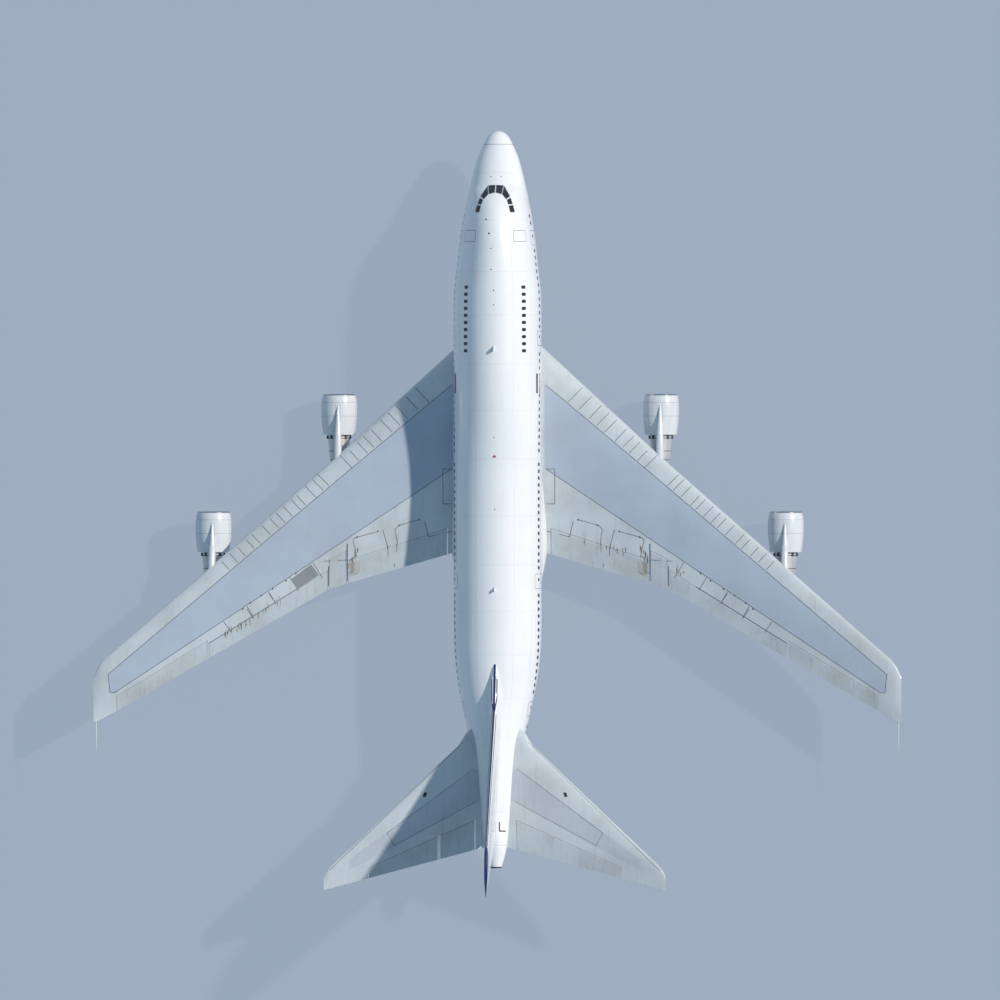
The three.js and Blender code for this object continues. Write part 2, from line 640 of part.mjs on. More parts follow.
// Body gear: a fixed leg under the belly and a bogie that steers on it.
const bodyGearAt = place(BODY_GEAR.lateral, BODY_GEAR.station, AXLE_HEIGHT);
const fairingGrown = toSolid(hull(FAIRING_FRAMES, JOINT_GAP));
const bodyLeg = bar(
  place(BODY_GEAR.lateral, BODY_GEAR.station, BODY_LEG_BOTTOM),
  place(BODY_GEAR.lateral, BODY_GEAR.station, 2.3),
  0.22,
  16,
)
  .subtract(fairingGrown)
  .subtract(wingGrown);
addPair('body_gear_leg', bodyLeg, METAL_BRIGHT, 0.6, 0.4);
const bodyBogie = toSolid(moved(axleCarrier(bogieStations, 0.17), bodyGearAt)).add(bar(
  place(BODY_GEAR.lateral, BODY_GEAR.station, 0.70),
  place(BODY_GEAR.lateral, BODY_GEAR.station, BODY_LEG_BOTTOM - 0.01),
  0.16,
  16,
));
addPair('body_gear_bogie', bodyBogie, METAL_BRIGHT, 0.6, 0.4);

for (const [name, gear] of [['wing_gear', WING_GEAR], ['body_gear', BODY_GEAR]]) {
  for (const [end, offset] of [['front', -BOGIE_HALF_LENGTH], ['rear', BOGIE_HALF_LENGTH]]) {
    const spot = place(gear.lateral, gear.station + offset, AXLE_HEIGHT);
    const wheels = toSolid(moved(twinWheels(MAIN_TWIN_HALF), spot));
    addPair(`${name}_wheels_${end}`, wheels, TYRE_BLACK, 0, 0.9);
  }
}

export default airliner;
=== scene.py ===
import math

import bpy
import numpy as np
from mathutils import Matrix, Vector


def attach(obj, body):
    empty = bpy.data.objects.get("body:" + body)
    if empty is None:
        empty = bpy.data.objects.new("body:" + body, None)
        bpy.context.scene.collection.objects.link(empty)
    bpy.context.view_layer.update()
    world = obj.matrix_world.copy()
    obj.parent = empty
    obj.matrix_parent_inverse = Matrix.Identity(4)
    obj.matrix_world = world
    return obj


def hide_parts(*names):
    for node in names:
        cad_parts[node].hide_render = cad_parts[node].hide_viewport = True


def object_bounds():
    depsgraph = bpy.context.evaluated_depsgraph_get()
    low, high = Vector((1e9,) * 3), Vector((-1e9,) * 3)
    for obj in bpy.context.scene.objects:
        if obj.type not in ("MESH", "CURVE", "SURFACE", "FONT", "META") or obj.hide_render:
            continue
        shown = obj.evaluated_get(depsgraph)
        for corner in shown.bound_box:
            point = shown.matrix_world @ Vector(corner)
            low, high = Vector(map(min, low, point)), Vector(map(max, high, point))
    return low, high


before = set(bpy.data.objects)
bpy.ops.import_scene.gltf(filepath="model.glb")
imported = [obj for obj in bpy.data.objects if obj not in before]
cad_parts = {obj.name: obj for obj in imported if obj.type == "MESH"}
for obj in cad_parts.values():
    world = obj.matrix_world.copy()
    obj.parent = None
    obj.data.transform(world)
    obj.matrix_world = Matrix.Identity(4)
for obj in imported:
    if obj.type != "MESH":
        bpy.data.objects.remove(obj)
cad_box = [list(corner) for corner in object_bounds()]

# Camera: high above the airliner, nose at the top of the picture, leaning a little
# towards the starboard wing, with a very long lens.
METRE = 0.5
camera_data = bpy.data.cameras.new("camera")
camera_data.lens = 1171.8
camera_data.sensor_width = 36.0
camera_data.clip_end = 5000.0
camera = bpy.data.objects.new("camera", camera_data)
bpy.context.scene.collection.objects.link(camera)
camera_lean = math.radians(3.4)
camera_reach = 1200.0
aim = Vector((-0.065, -0.47, 2.2))
camera.location = aim + camera_reach * Vector((-math.sin(camera_lean), 0.0, math.cos(camera_lean)))
camera_look = (aim - camera.location).normalized()
camera_right = Vector((-1.0, 0.0, 0.0))
camera_right = (camera_right - camera_look * camera_right.dot(camera_look)).normalized()
camera_up = camera_right.cross(camera_look)
turn = np.array([camera_right, camera_up, -camera_look]).T
camera.rotation_euler = Matrix(turn.tolist()).to_euler()
bpy.context.scene.camera = camera

# Studio: a wide pale floor, an even pale sky and one large soft lamp high on the
# starboard bow.
floor_mesh = bpy.data.meshes.new("studio_floor")
floor_half = 400.0
floor_mesh.from_pydata(
    [
        (-floor_half, -floor_half, 0), (floor_half, -floor_half, 0), (floor_half, floor_half, 0),
        (-floor_half, floor_half, 0)
    ],
    [],
    [(0, 1, 2, 3)],
)
floor = bpy.data.objects.new("studio_floor", floor_mesh)
bpy.context.scene.collection.objects.link(floor)
floor_material = bpy.data.materials.new("studio_floor")
floor_material.use_nodes = True
floor_shader = floor_material.node_tree.nodes["Principled BSDF"]
floor_shader.inputs["Base Color"].default_value = (0.025, 0.029, 0.034, 1)
floor_shader.inputs["Roughness"].default_value = 0.9
floor_shader.inputs["Emission Color"].default_value = (0.308, 0.377, 0.475, 1)
floor_shader.inputs["Emission Strength"].default_value = 1.0
floor_mesh.materials.append(floor_material)
world = bpy.data.worlds.new("studio")
world.use_nodes = True
world.node_tree.nodes["Background"].inputs["Color"].default_value = (0.50, 0.74, 1.0, 1)
world.node_tree.nodes["Background"].inputs["Strength"].default_value = 0.44
bpy.context.scene.world = world
sun_data = bpy.data.lights.new("key_lamp", "SUN")
sun_data.energy = 3.1
sun_data.angle = math.radians(2.0)
sun_data.color = (1.0, 0.93, 0.85)
sun = bpy.data.objects.new("key_lamp", sun_data)
sun.rotation_euler = Vector((0.70, 0.33, -0.643)).to_track_quat("-Z", "Y").to_euler()
bpy.context.scene.collection.objects.link(sun)
bpy.context.scene.view_settings.view_transform = "Standard"

# Fuselage: a riveted aluminium skin over frames and stringers, painted gloss white.
# Its frames are two half ellipses meeting at the widest line, in full-size metres:
# station aft of the nose, half width, height of the widest line, belly, crown.
NOSE_Y = cad_box[0][1]
HULL_FRAMES = np.array([
    [0.00, 0.05, 4.35, 4.30, 4.40], [0.05, 0.27, 4.35, 4.09, 4.61], [0.15, 0.48, 4.35, 3.90, 4.83],
    [0.45, 0.78, 4.38, 3.58, 5.12], [1.00, 1.08, 4.45, 3.22, 5.48], [1.77, 1.44, 4.55, 2.88, 5.95],
    [2.65, 1.72, 4.65, 2.62, 6.45], [3.54, 1.94, 4.75, 2.43, 6.98], [4.05, 2.06, 4.80, 2.35, 7.35],
    [4.60, 2.19, 4.86, 2.28, 8.15], [5.31, 2.32, 4.92, 2.18, 8.85], [6.19, 2.50, 5.00, 2.10, 9.33],
    [7.08, 2.65, 5.07, 2.05, 9.62], [8.40, 2.83, 5.15, 2.02, 9.80], [10.0, 2.99, 5.22, 2.00, 9.85],
    [12.4, 3.23, 5.25, 2.00, 9.85], [17.0, 3.25, 5.25, 2.00, 9.85], [19.0, 3.25, 5.25, 2.00, 9.70],
    [21.0, 3.25, 5.25, 2.00, 9.42], [23.0, 3.25, 5.25, 2.00, 9.08], [25.0, 3.25, 5.25, 2.00, 8.84],
    [27.0, 3.25, 5.25, 2.00, 8.76], [35.5, 3.25, 5.25, 2.00, 8.75], [37.7, 3.22, 5.30, 2.08, 8.75],
    [39.5, 3.08, 5.42, 2.32, 8.75], [41.2, 2.82, 5.62, 2.72, 8.74], [43.0, 2.44, 5.88, 3.24, 8.70],
    [45.0, 2.00, 6.18, 3.90, 8.62], [47.2, 1.68, 6.50, 4.62, 8.50], [49.4, 1.36, 6.80, 5.32, 8.34],
    [51.2, 1.08, 7.02, 5.92, 8.17], [52.65, 0.84, 7.18, 6.38, 8.02], [53.7, 0.60, 7.30, 6.74, 7.86],
    [54.35, 0.40, 7.36, 6.96, 7.76],
])


def spot(lateral, station, height):
    return (lateral * METRE, NOSE_Y + station * METRE, height * METRE)


def fair_curve(knots, values, at):
    """A smooth curve through the knots that never overshoots them."""
    step = np.diff(knots)
    rise = np.diff(values) / step
    slope = np.zeros(len(values))
    for i in range(1, len(values) - 1):
        if rise[i - 1] * rise[i] > 0:
            a = 2 * step[i] + step[i - 1]
            b = step[i] + 2 * step[i - 1]
            slope[i] = (a + b) / (a / rise[i - 1] + b / rise[i])
    slope[0], slope[-1] = rise[0], rise[-1]
    k = np.clip(np.searchsorted(knots, at) - 1, 0, len(step) - 1)
    t = (at - knots[k]) / step[k]
    return (
        (2 * t**3 - 3 * t**2 + 1) * values[k]
        + (t**3 - 2 * t**2 + t) * step[k] * slope[k]
        + (3 * t**2 - 2 * t**3) * values[k + 1]
        + (t**3 - t**2) * step[k] * slope[k + 1]
    )


HULL_KNOWN = {}


def hull_frame(station, table=HULL_FRAMES):
    key = (round(station, 5), len(table))
    if key not in HULL_KNOWN:
        HULL_KNOWN[key] = [
            float(fair_curve(table[:, 0], table[:, c], np.array([station]))[0]) for c in range(1, 5)
        ]
    return HULL_KNOWN[key]


def hull_at(station, angle, lift=0.0, table=HULL_FRAMES):
    """A point of the hull at an angle round from the port widest line, lifted off it."""
    half, wide, low, high = hull_frame(station, table)
    rise = high - wide if math.sin(angle) > 0 else wide - low
    return spot((half + lift) * math.cos(angle), station, wide + (rise + lift) * math.sin(angle))


def make_piece(name, points, faces, materials, body, face_material=None, smooth=True):
    mesh = bpy.data.meshes.new(name)
    mesh.from_pydata([tuple(map(float, p)) for p in points], [], faces)
    for material in materials:
        mesh.materials.append(material)
    if face_material is not None:
        mesh.polygons.foreach_set("material_index", face_material)
    mesh.polygons.foreach_set("use_smooth", [smooth] * len(faces))
    mesh.validate()
    mesh.update()
    piece = bpy.data.objects.new(name, mesh)
    bpy.context.scene.collection.objects.link(piece)
    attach(piece, body)
    return piece


def ring_faces(rings, count, first=0, closed=True):
    faces = []
    wrap = count if closed else count - 1
    for r in range(rings - 1):
        for i in range(wrap):
            a = first + r * count + i
            b = first + r * count + (i + 1) % count
            faces.append((a, b, b + count, a + count))
    return faces


def weather_group():
    """Paint that has flown: broad fading, streaks along the airflow and fine soot specks."""
    group = bpy.data.node_groups.new("flown_paint", "ShaderNodeTree")
    for label, kind, value in (
        ("Paint", "NodeSocketColor", (0.8, 0.8, 0.8, 1)),
        ("Grime", "NodeSocketColor", (0.2, 0.18, 0.15, 1)),
        ("Fade", "NodeSocketFloat", 0.1),
        ("Streaks", "NodeSocketFloat", 0.1),
        ("Specks", "NodeSocketFloat", 0.1),
        ("Gloss", "NodeSocketFloat", 0.3),
    ):
        socket = group.interface.new_socket(label, in_out="INPUT", socket_type=kind)
        socket.default_value = value
    for label, kind in (
        ("Color", "NodeSocketColor"), ("Roughness", "NodeSocketFloat"), ("Height", "NodeSocketFloat")
    ):
        group.interface.new_socket(label, in_out="OUTPUT", socket_type=kind)
    nodes, links = group.nodes, group.links
    given = nodes.new("NodeGroupInput")
    out = nodes.new("NodeGroupOutput")
    where = nodes.new("ShaderNodeTexCoord")

    def noise(scale, detail, stretch=None):
        node = nodes.new("ShaderNodeTexNoise")
        node.inputs["Scale"].default_value = scale
        node.inputs["Detail"].default_value = detail
        node.inputs["Roughness"].default_value = 0.6
        if stretch:
            mapping = nodes.new("ShaderNodeMapping")
            mapping.inputs["Scale"].default_value = stretch
            links.new(where.outputs["Object"], mapping.inputs["Vector"])
            links.new(mapping.outputs["Vector"], node.inputs["Vector"])
        else:
            links.new(where.outputs["Object"], node.inputs["Vector"])
        return node.outputs["Fac"]

    def band(value, low, high):
        node = nodes.new("ShaderNodeMapRange")
        node.interpolation_type = "SMOOTHSTEP"
        node.inputs["From Min"].default_value = low
        node.inputs["From Max"].default_value = high
        links.new(value, node.inputs["Value"])
        return node.outputs["Result"]

    def sums(kind, a, b):
        node = nodes.new("ShaderNodeMath")
        node.operation = kind
        for socket, value in zip(node.inputs, (a, b)):
            if isinstance(value, (int, float)):
                socket.default_value = value
            else:
                links.new(value, socket)
        return node.outputs["Value"]

    fade = sums("MULTIPLY", band(noise(0.55, 5.0), 0.35, 0.75), given.outputs["Fade"])
    streak = sums(
        "MULTIPLY", band(noise(2.4, 6.0, (4.0, 0.22, 4.0)), 0.5, 0.82), given.outputs["Streaks"]
    )
    speck = sums("MULTIPLY", band(noise(26.0, 3.0), 0.62, 0.8), given.outputs["Specks"])
    total = sums("MINIMUM", sums("ADD", sums("ADD", fade, streak), speck), 1.0)
    mix = nodes.new("ShaderNodeMix")
    mix.data_type = "RGBA"
    links.new(total, mix.inputs["Factor"])
    links.new(given.outputs["Paint"], mix.inputs["A"])
    links.new(given.outputs["Grime"], mix.inputs["B"])
    links.new(mix.outputs["Result"], out.inputs["Color"])
    links.new(
        sums("ADD", given.outputs["Gloss"], sums("MULTIPLY", total, 0.35)), out.inputs["Roughness"]
    )
    links.new(
        sums("ADD", noise(1.3, 2.0), sums("MULTIPLY", noise(60.0, 2.0), 0.05)), out.inputs["Height"]
    )
    return group


FLOWN_PAINT = weather_group()
BUMP_DISTANCE = 0.02


def flown_material(name, paint, grime, fade, streaks, specks, gloss, metallic=0.0, coat=0.0):
    material = bpy.data.materials.new(name)
    material.use_nodes = True
    nodes, links = material.node_tree.nodes, material.node_tree.links
    shader = nodes["Principled BSDF"]
    shader.inputs["Metallic"].default_value = metallic
    shader.inputs["Coat Weight"].default_value = coat
    shader.inputs["Coat Roughness"].default_value = 0.08
    weather = nodes.new("ShaderNodeGroup")
    weather.node_tree = FLOWN_PAINT
    weather.inputs["Paint"].default_value = (*paint, 1)
    weather.inputs["Grime"].default_value = (*grime, 1)
    weather.inputs["Fade"].default_value = fade
    weather.inputs["Streaks"].default_value = streaks
    weather.inputs["Specks"].default_value = specks
    weather.inputs["Gloss"].default_value = gloss
    links.new(weather.outputs["Color"], shader.inputs["Base Color"])
    links.new(weather.outputs["Roughness"], shader.inputs["Roughness"])
    bump_node = nodes.new("ShaderNodeBump")
    bump_node.inputs["Strength"].default_value = 0.25
    bump_node.inputs["Distance"].default_value = BUMP_DISTANCE
    links.new(weather.outputs["Height"], bump_node.inputs["Height"])
    links.new(bump_node.outputs["Normal"], shader.inputs["Normal"])
    return material


hull_white = flown_material(
    "hull_white", (0.86, 0.87, 0.88), (0.48, 0.47, 0.45), 0.10, 0.14, 0.06, 0.24, coat=0.5
)
radome_white = flown_material(
    "radome_white", (0.84, 0.85, 0.86), (0.50, 0.48, 0.45), 0.14, 0.10, 0.16, 0.34
)
bare_metal = flown_material(
    "bare_metal", (0.60, 0.61, 0.63), (0.24, 0.21, 0.18), 0.30, 0.35, 0.20, 0.26, metallic=1.0
)

HULL_SIDES = 96
radome_end = 1.0
tail_cone_start = 52.65


def hull_piece(name, stations, material, node, table=HULL_FRAMES):
    points = []
    for station in stations:
        for i in range(HULL_SIDES):
            points.append(hull_at(station, (i + 0.5) / HULL_SIDES * 2 * math.pi, 0.0, table))
    faces = ring_faces(len(stations), HULL_SIDES)
    last = (len(stations) - 1) * HULL_SIDES
    faces.append(tuple(reversed(range(HULL_SIDES))))
    faces.append(tuple(last + i for i in range(HULL_SIDES)))
    piece = make_piece(name, points, faces, [material], "airframe")
    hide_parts(node)
    return piece


nose_stations = np.concatenate([[0.0, 0.012, 0.03, 0.06, 0.1], np.linspace(0.15, radome_end - 0.006, 18)])
hull_piece("radome_shell", nose_stations, radome_white, "radome")
body_stations = np.concatenate([
    np.linspace(radome_end + 0.006, 9.0, 70), np.linspace(9.3, 36.0, 60), np.linspace(
        36.5, tail_cone_start - 0.006, 60
    ),
])
fuselage_skin = hull_piece("fuselage_skin", body_stations, hull_white, "fuselage")
tail_stations = np.linspace(tail_cone_start + 0.006, 54.35, 14)
hull_piece("tail_cone_skin", tail_stations, hull_white, "tail_cone")

# Skin joints and door outlines: shallow lap seams between the hull panels and the dark
# gaps round doors and hatches, laid as narrow strips that follow the skin.
seam_grey = flown_material("seam_grey", (0.62, 0.63, 0.65), (0.20, 0.19, 0.18), 0.3, 0.3, 0.1, 0.5)
joint_dark_and_gap_shade = flown_material("joint_dark_and_gap_shade", (0.07, 0.075, 0.085), (0.03, 0.03, 0.03), 0.3, 0.2, 0.1, 0.6)


def strip_mesh(lines, width, lift):
    """Flat strips along lines of (point, normal) pairs, all in model metres."""
    points, faces = [], []
    for line in lines:
        place = np.array([p for p, n in line])
        normal = np.array([n for p, n in line])
        along = np.gradient(place, axis=0)
        side = np.cross(normal, along)
        side /= np.maximum(np.linalg.norm(side, axis=1, keepdims=True), 1e-9)
        first = len(points)
        for p, n, s in zip(place, normal, side):
            points.append(p + n * lift - s * width / 2)
            points.append(p + n * lift + s * width / 2)
        for i in range(len(line) - 1):
            a = first + 2 * i
            faces.append((a, a + 1, a + 3, a + 2))
    return points, faces


def hull_spot(station, angle):
    here = np.array(hull_at(station, angle))
    ahead = np.array(hull_at(min(station + 0.05, 54.3), angle))
    round_ = np.array(hull_at(station, angle + 0.01))
    normal = np.cross(round_ - here, ahead - here)
    normal /= np.linalg.norm(normal)
    half, wide, low, high = hull_frame(station)
    centre = np.array(spot(0, station, wide))
    if np.dot(normal, here - centre) < 0:
        normal = -normal
    return here, normal


def hull_angle(station, height, side):
    half, wide, low, high = hull_frame(station)
    rise = high - wide if height > wide else wide - low
    angle = math.asin(max(-1.0, min(1.0, (height - wide) / rise)))
    return angle if side > 0 else math.pi - angle


def top_angle(station, lateral):
    """Angle on the upper half at a lateral place, positive to port."""
    half = hull_frame(station)[0]
    return math.acos(max(-1.0, min(1.0, lateral / half)))


seams = []
for station in (3.1, 6.6, 10.4, 13.6, 17.2, 20.6, 24.2, 28.4, 32.0, 35.4, 38.6, 41.8, 44.8, 47.6, 50.2):
    seams.append([hull_spot(station, a) for a in np.linspace(0, 2 * math.pi, 97)])
for angle in (0.12, 0.62, 1.12, 2.02, 2.52, 3.02, 3.75, 4.3, 5.12, 5.67):
    seams.append([hull_spot(s, angle) for s in np.linspace(6.6, 50.2, 90)])
points, faces = strip_mesh(seams, 0.005, 0.0012)
# The lower cargo doors' middle stations, and the block round each one, in model metres,
# that the seams leave free.
CARGO_DOORS = {"forward": 12.30, "aft": 36.90}
SEAM_FREE_HALF, SEAM_FREE_LOW, SEAM_FREE_HIGH = 0.69, 1.62, 2.40


def crosses_cargo_door(face):
    x, y, z = np.mean([points[i] for i in face], axis=0)
    beside = any(abs(y - spot(0, station, 0)[1]) < SEAM_FREE_HALF for station in CARGO_DOORS.values())
    return beside and x < 0 and SEAM_FREE_LOW < z < SEAM_FREE_HIGH


faces = [face for face in faces if not crosses_cargo_door(face)]
seam_piece = make_piece("hull_lap_seams", points, faces, [seam_grey], "airframe", smooth=True)


def rounded_outline(width, height, radius, steps=6):
    """Corner-rounded rectangle as offsets along the hull and up the side."""
    outline = []
    for cx, cy, start in (
        (width / 2 - radius, height / 2 - radius, 0.0), (-width / 2 + radius, height / 2 - radius, 0.5),
        (
            -width / 2 + radius, -height / 2 + radius, 1.0
        ), (width / 2 - radius, -height / 2 + radius, 1.5),
    ):
        for i in range(steps + 1):
            a = (start + 0.5 * i / steps) * math.pi
            outline.append((cx + radius * math.cos(a), cy + radius * math.sin(a)))
    return outline + outline[:1]


def on_side(station, height, side, outline):
    line = []
    for (along, up), (next_along, next_up) in zip(outline, outline[1:]):
        steps = max(1, int(math.hypot(next_along - along, next_up - up) / 0.08))
        for k in range(steps):
            a, u = along + (next_along - along) * k / steps, up + (next_up - up) * k / steps
            line.append(hull_spot(station + a, hull_angle(station + a, height + u, side)))
    along, up = outline[-1]
    line.append(hull_spot(station + along, hull_angle(station + along, height + up, side)))
    return line


door_lines, handle_lines = [], []
DOOR_HEIGHT = 5.95
DOOR_STATIONS = (7.9, 15.3, 33.2, 42.6)
for side in (1, -1):
    for station in DOOR_STATIONS:
        door_lines.append(on_side(station, DOOR_HEIGHT, side, rounded_outline(1.07, 1.93, 0.16)))
        handle_lines.append(on_side(
            station + 0.12, DOOR_HEIGHT - 0.12, side, [(-0.12, 0), (0, 0), (0.12, 0)]
        ))
door_lines.append(on_side(40.3, 3.65, -1, rounded_outline(1.1, 1.2, 0.10)))
handle_lines.append(on_side(40.3, 3.25, -1, [(-0.12, 0), (0, 0), (0.12, 0)]))
for side in (1, -1):
    corners = [(7.37, 1.38), (8.19, 1.44), (8.19, 2.28), (7.37, 2.20), (7.37, 1.38)]
    line = []
    for (s0, l0), (s1, l1) in zip(corners, corners[1:]):
        for t in np.linspace(0, 1, 9)[:-1]:
            s, l = s0 + (s1 - s0) * t, l0 + (l1 - l0) * t
            line.append(hull_spot(s, top_angle(s, side * l)))
    line.append(line[0])
    door_lines.append(line)
points, faces = strip_mesh(door_lines, 0.014, 0.002)
door_piece = make_piece("door_gaps", points, faces, [joint_dark_and_gap_shade], "airframe")
points, faces = strip_mesh(handle_lines, 0.03, 0.003)
handle_piece = make_piece("door_handles", points, faces, [bare_metal], "airframe")
joint_line = [[hull_spot(radome_end, a) for a in np.linspace(0, 2 * math.pi, 97)]]
points, faces = strip_mesh(joint_line, 0.012, 0.0015)
radome_joint = make_piece("radome_joint", points, faces, [joint_dark_and_gap_shade], "airframe")

# Lower cargo doors: two thick slabs of the hull on the starboard side that swing outward
# on a hinge along the top edge, over a shallow lined pocket.
CARGO_LENGTH, CARGO_HEIGHT, CARGO_LEAN, CARGO_CENTRE = 2.64, 1.68, 0.52, 5.25
CARGO_GAP, CARGO_DEPTH = 0.022, 0.15
primer_green = flown_material(
    "primer_green", (0.30, 0.33, 0.22), (0.15, 0.14, 0.10), 0.3, 0.3, 0.3, 0.55
)
# The skin has to face outward for the cut to take material away.
fuselage_skin.data.flip_normals()
for label, station in CARGO_DOORS.items():
    outward = np.array([-math.cos(CARGO_LEAN), -math.sin(CARGO_LEAN)])
    upward = np.array([-math.sin(CARGO_LEAN), math.cos(CARGO_LEAN)])
    corners = []
    for back in (station - CARGO_LENGTH / 2 - CARGO_GAP, station + CARGO_LENGTH / 2 + CARGO_GAP):
        for out_to, up_to in ((2.94, -1), (3.6, -1), (3.6, 1), (2.94, 1)):
            x, z = outward * out_to + upward * up_to * (CARGO_HEIGHT / 2 + CARGO_GAP)
            corners.append(spot(x, back, CARGO_CENTRE + z))
    cutter_mesh = bpy.data.meshes.new(f"cargo_cutter_{label}")
    cutter_mesh.from_pydata(
        corners, [],
        [(3, 2, 1, 0), (4, 5, 6, 7), (1, 5, 4, 0), (2, 6, 5, 1), (3, 7, 6, 2), (0, 4, 7, 3)]
    )
    cutter = bpy.data.objects.new(f"cargo_cutter_{label}", cutter_mesh)
    bpy.context.scene.collection.objects.link(cutter)
    cut = fuselage_skin.modifiers.new("cargo_pocket", "BOOLEAN")
    cut.operation = "DIFFERENCE"
    cut.solver = "EXACT"
    cut.object = cutter
    bpy.context.view_layer.objects.active = fuselage_skin
    bpy.ops.object.modifier_apply(modifier=cut.name)
    bpy.data.objects.remove(cutter)
    swing = math.asin(CARGO_HEIGHT / 2 / 3.25)
    angles = [math.pi + CARGO_LEAN - swing + 2 * swing * j / 14 for j in range(15)]
    slices = np.linspace(station - CARGO_LENGTH / 2, station + CARGO_LENGTH / 2, 19)
    points = []
    for back in slices:
        points += [hull_at(back, angle) for angle in angles]
        points += [hull_at(back, angle, -CARGO_DEPTH) for angle in reversed(angles)]
    count = 30
    faces = ring_faces(19, count) + [
        tuple(reversed(range(count))), tuple(range(18 * count, 19 * count))
    ]
    door = make_piece(f"cargo_door_{label}_skin", points, faces, [hull_white], f"cargo_door_{label}")
    door.data.set_sharp_from_angle(angle=math.radians(40))
    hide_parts(f"cargo_door_{label}")
    points, faces = [], []
    for rib_station in np.linspace(station - 1.1, station + 1.1, 6):
        first = len(points)
        for back in (rib_station - 0.04, rib_station + 0.04):
            points += [hull_at(back, angle, -CARGO_DEPTH - 0.03) for angle in angles[1:-1]]
            points += [hull_at(back, angle, -CARGO_DEPTH + 0.01) for angle in reversed(angles[1:-1])]
        faces += ring_faces(2, 26, first) + [
            tuple(range(first + 25, first - 1, -1)), tuple(range(first + 26, first + 52))
        ]
    ribs = make_piece(
        f"cargo_door_{label}_ribs", points, faces, [primer_green], f"cargo_door_{label}", smooth=False
    )
    handle_line = [[hull_spot(station + x, angles[10]) for x in (-0.15, 0, 0.15)]]
    points, faces = strip_mesh(handle_line, 0.03, 0.003)
    make_piece(f"cargo_door_{label}_handle", points, faces, [bare_metal], f"cargo_door_{label}")
fuselage_skin.data.set_sharp_from_angle(angle=math.radians(28))

# Flight deck windows: six thick heated panes in a metal surround, three on each side of
# the centre post, their shapes following the hull above the nose.
pane_dark = bpy.data.materials.new("pane_dark")
pane_dark.use_nodes = True
pane_nodes, pane_links = pane_dark.node_tree.nodes, pane_dark.node_tree.links
pane_shader = pane_nodes["Principled BSDF"]
pane_shader.inputs["Coat Weight"].default_value = 0.25
pane_shader.inputs["Specular IOR Level"].default_value = 0.35
pane_shader.inputs["Coat Roughness"].default_value = 0.02
pane_cloud = pane_nodes.new("ShaderNodeTexNoise")
pane_cloud.inputs["Scale"].default_value = 3.0
pane_ramp = pane_nodes.new("ShaderNodeValToRGB")
pane_ramp.color_ramp.elements[0].color = (0.010, 0.012, 0.016, 1)
pane_ramp.color_ramp.elements[1].color = (0.022, 0.028, 0.036, 1)
pane_where = pane_nodes.new("ShaderNodeTexCoord")
pane_links.new(pane_where.outputs["Object"], pane_cloud.inputs["Vector"])
pane_links.new(pane_cloud.outputs["Fac"], pane_ramp.inputs["Fac"])
pane_links.new(pane_ramp.outputs["Color"], pane_shader.inputs["Base Color"])
pane_shader.inputs["Roughness"].default_value = 0.08


def patch_on_hull(corners, side, lift, steps=8):
    """A four-sided patch given in plan as (station, lateral) corners, wrapped on the hull."""
    (a, b, c, d) = [np.array(p, float) for p in corners]
    points = []
    for i in range(steps + 1):
        for j in range(steps + 1):
            u, v = i / steps, j / steps
            s, l = (a * (1 - u) + b * u) * (1 - v) + (d * (1 - u) + c * u) * v
            here, normal = hull_spot(s, top_angle(s, side * l))
            points.append(here + normal * lift)
    return points, ring_faces(steps + 1, steps + 1, closed=False)


PANES = [
    [(4.02, 0.04), (4.05, 0.55), (4.70, 0.47), (4.58, 0.04)],
    [(4.08, 0.60), (4.84, 1.08), (5.08, 0.83), (4.72, 0.52)],
    [(4.96, 1.12), (5.43, 1.29), (5.46, 0.99), (5.14, 0.88)],
    [(5.51, 1.32), (6.02, 1.46), (6.04, 1.15), (5.56, 1.02)],
]
points, faces, rim_lines = [], [], []
for side in (1, -1):
    for corners in PANES:
        some, patch = patch_on_hull(corners, side, 0.004)
        faces += [tuple(i + len(points) for i in f) for f in patch]
        points += some
        line = []
        loop = corners + corners[:1]
        for (s0, l0), (s1, l1) in zip(loop, loop[1:]):
            for t in np.linspace(0, 1, 9)[:-1]:
                s, l = s0 + (s1 - s0) * t, l0 + (l1 - l0) * t
                line.append(hull_spot(s, top_angle(s, side * l)))
        line.append(line[0])
        rim_lines.append(line)
flight_deck = make_piece("flight_deck_panes", points, faces, [pane_dark], "airframe")
points, faces = strip_mesh(rim_lines, 0.012, 0.005)
pane_rims = make_piece("flight_deck_rims", points, faces, [bare_metal], "airframe")

